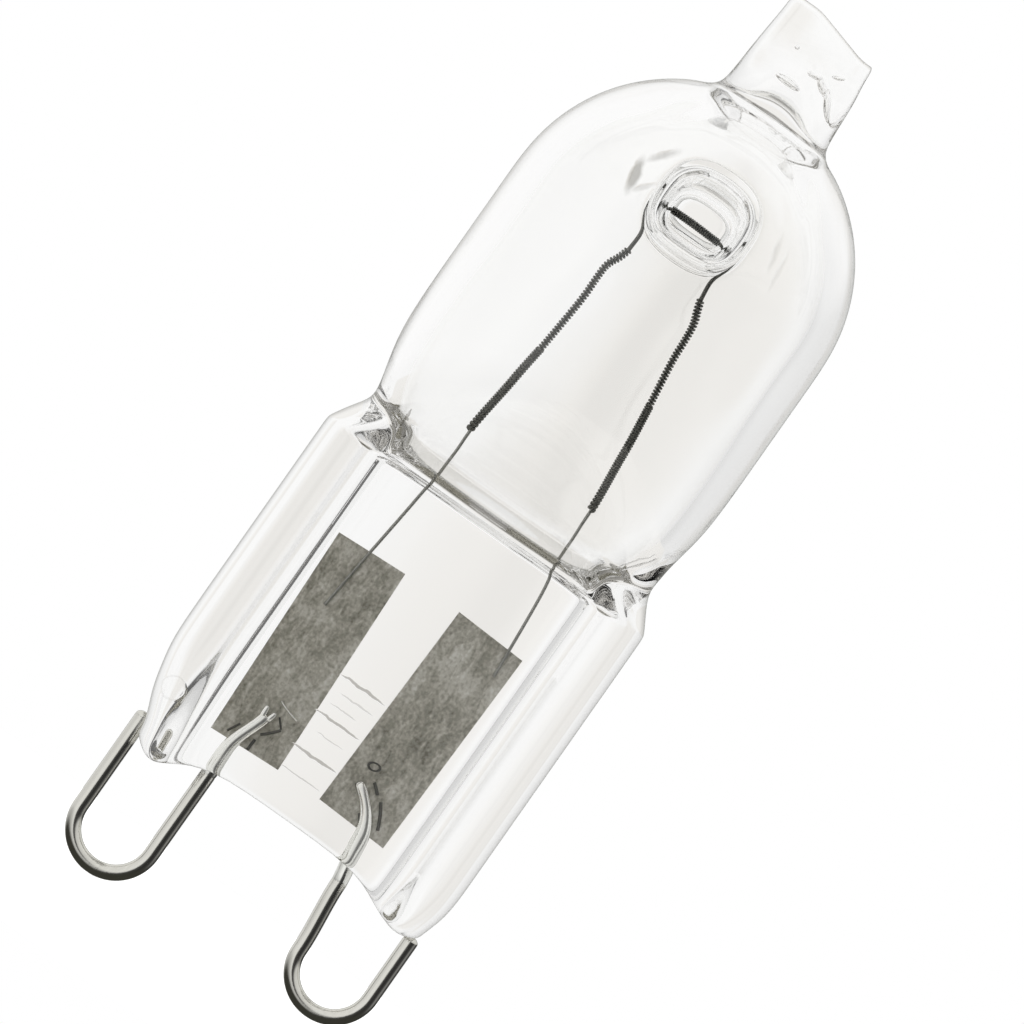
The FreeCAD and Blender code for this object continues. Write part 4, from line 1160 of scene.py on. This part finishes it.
# The flattened ends: rings by middle across, height, half width, half thickness and lean
bladeSet = {
    "points": 16,
    "backPlane": 0.15,
    "seated": (0.3, 1.2),    # between these heights it moves from the pin's middle to the foil
    "edgePlane": 0.12,
    "strokePlane": 0.13,
    "left": [(-2.93, -0.5, 0.2, 0.2, 0.0), (-2.93, -0.3, 0.298, 0.298, 0.0),
             (-2.915, 0.1, 0.298, 0.298, 0.0), (-2.92, 0.5, 0.295, 0.28, 0.0),
             (-2.93, 1.0, 0.27, 0.24, 0.0), (-2.87, 1.35, 0.25, 0.2, -0.1),
             (-2.72, 1.75, 0.22, 0.17, -0.35), (-2.56, 2.15, 0.21, 0.14, -0.35),
             (-2.45, 2.5, 0.22, 0.11, -0.2), (-2.42, 2.66, 0.2, 0.06, -0.1)],
    "right": [(2.92, -0.9, 0.2, 0.2, 0.0), (2.905, -0.7, 0.298, 0.298, 0.0),
              (2.87, -0.4, 0.298, 0.298, 0.0), (2.78, 0.1, 0.298, 0.29, 0.1), (2.69, 0.5, 0.31, 0.25, 0.1),
              (2.66, 0.9, 0.32, 0.2, 0.0), (2.6, 1.3, 0.28, 0.17, 0.2), (2.44, 1.65, 0.21, 0.15, 0.5),
              (2.22, 1.98, 0.16, 0.13, 0.8), (1.96, 2.24, 0.13, 0.11, 1.0), (1.68, 2.47, 0.12, 0.09, 1.2),
              (1.46, 2.63, 0.09, 0.05, 1.2)],
    "prongs": {
        "left": [[(-2.54, 2.42, 0.12, 0.09, 0.0), (-2.57, 2.68, 0.11, 0.07, 0.0),
                  (-2.58, 2.88, 0.09, 0.05, 0.0), (-2.585, 2.96, 0.05, 0.02, 0.0)],
                 [(-2.34, 2.42, 0.11, 0.09, 0.0), (-2.28, 2.66, 0.1, 0.07, -0.2),
                  (-2.23, 2.82, 0.08, 0.05, -0.3), (-2.21, 2.9, 0.04, 0.02, -0.3)]],
        "right": [],
    },
    # dark rods where the end was pressed and welded: its edges and slits, and painted shadow, the last rod
    # on the left and the last two on the right; radius, then the route
    "edges": {
        "left": [(0.05, [(-2.24, 1.98), (-1.96, 2.22), (-1.74, 2.5)]),
                 (0.035, [(-1.75, 2.52), (-1.9, 2.7), (-2.04, 2.84)]),
                 (0.055, [(-2.3, 1.29), (-2.31, 1.5), (-2.29, 1.74)]),
                 (0.04, [(-3.28, 1.44), (-3.14, 1.7), (-3.03, 1.9)])],
        "right": [(0.06, [(1.92, 2.88), (2.1, 2.75), (2.26, 2.58)]),
                  (0.06, [(2.5, 2.46), (2.67, 2.2), (2.84, 1.9), (2.98, 1.59)]),
                  (0.04, [(1.42, 2.5), (1.66, 2.28), (1.9, 2.1)]),
                  (0.045, [(2.1, 1.72), (2.24, 1.55), (2.36, 1.34)])],
    },
    # bright thin strokes on the foil
    "strokes": {"left": [(0.035, [(-2.3, 3.34), (-2.05, 3.2), (-1.47, 3.07)])], "right": []},
}


def addLoft(name, rings):
    # a closed body through oval rings that lie on the foil's front
    low, high = bladeSet["seated"]
    points = bladeSet["points"]

    def oval(ring):
        middle, up, halfWidth, halfDepth, _ = ring
        share = min(1.0, max(0.0, (up - low) / (high - low)))
        behind = min(bladeSet["backPlane"] - halfDepth, 0.0) * share
        angles = [math.pi + 2 * math.pi * spot / points for spot in range(points)]
        return [(middle + halfWidth * math.cos(angle), behind + halfDepth * math.sin(angle))
                for angle in angles]

    def rise(ring):
        return lambda across: ring[1] + ring[4] * (across - ring[0])

    body = startRing(name, oval(rings[0]), rise(rings[0]))
    bpy.ops.mesh.edge_face_add()
    openRing(body)
    for ring in rings[1:]:
        extrudeRing(body, oval(ring), rise(ring))
    bpy.ops.mesh.edge_face_add()
    closeEdit()
    turnNormals(body, inside=False)
    addSubdivision(body, 1)
    return body


def openRing(piece):
    # the last ring placed is selected, without the face that closes it
    bpy.ops.mesh.select_mode(type="EDGE")
    mesh = editMesh(piece)
    for face in mesh.faces:
        face.select = False
    for edge in mesh.edges:
        edge.select = True
    bmesh.update_edit_mesh(piece.data)


def finishPin(pin, side):
    bodies = [addLoft(side + "Blade", bladeSet[side])]
    bodies += [addLoft(side + "Prong", rings) for rings in bladeSet["prongs"][side]]
    values = pinSet[side]
    bpy.ops.mesh.primitive_uv_sphere_add(segments=32, ring_count=16, radius=mm, location=(0, 0, 0))
    end = bpy.context.object
    end.matrix_world = (Matrix.Translation(Vector((values["outer"], 0, values["free"])) * mm)
                        @ Matrix.Diagonal((pinSet["radius"], pinSet["radius"], pinSet["freeEnd"], 1)))
    bakePlace(end)
    end.data.materials.append(pinSteel)
    for body in bodies:
        body.data.materials.append(bladeSteel)
    # the dark rods: pressed edges and slits, and painted shadow beside and under the end
    edges = [addWire(side + "Edge", route, radius, coilMetal, bladeSet["edgePlane"])
             for radius, route in bladeSet["edges"][side]]
    edges += [addWire(side + "Stroke", route, radius, bladeSteel, bladeSet["strokePlane"])
              for radius, route in bladeSet["strokes"][side]]
    joinInto(pin, bodies + edges + [end])
    shadeSmooth(pin, 50)


for side in ("left", "right"):
    finishPin(addPin(side), side)
print("pins bent")

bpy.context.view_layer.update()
cycles = bpy.context.scene.cycles
cycles.max_bounces = studioSet["bounces"]
cycles.glossy_bounces = studioSet["glossyBounces"]
cycles.transmission_bounces = studioSet["transmissionBounces"]
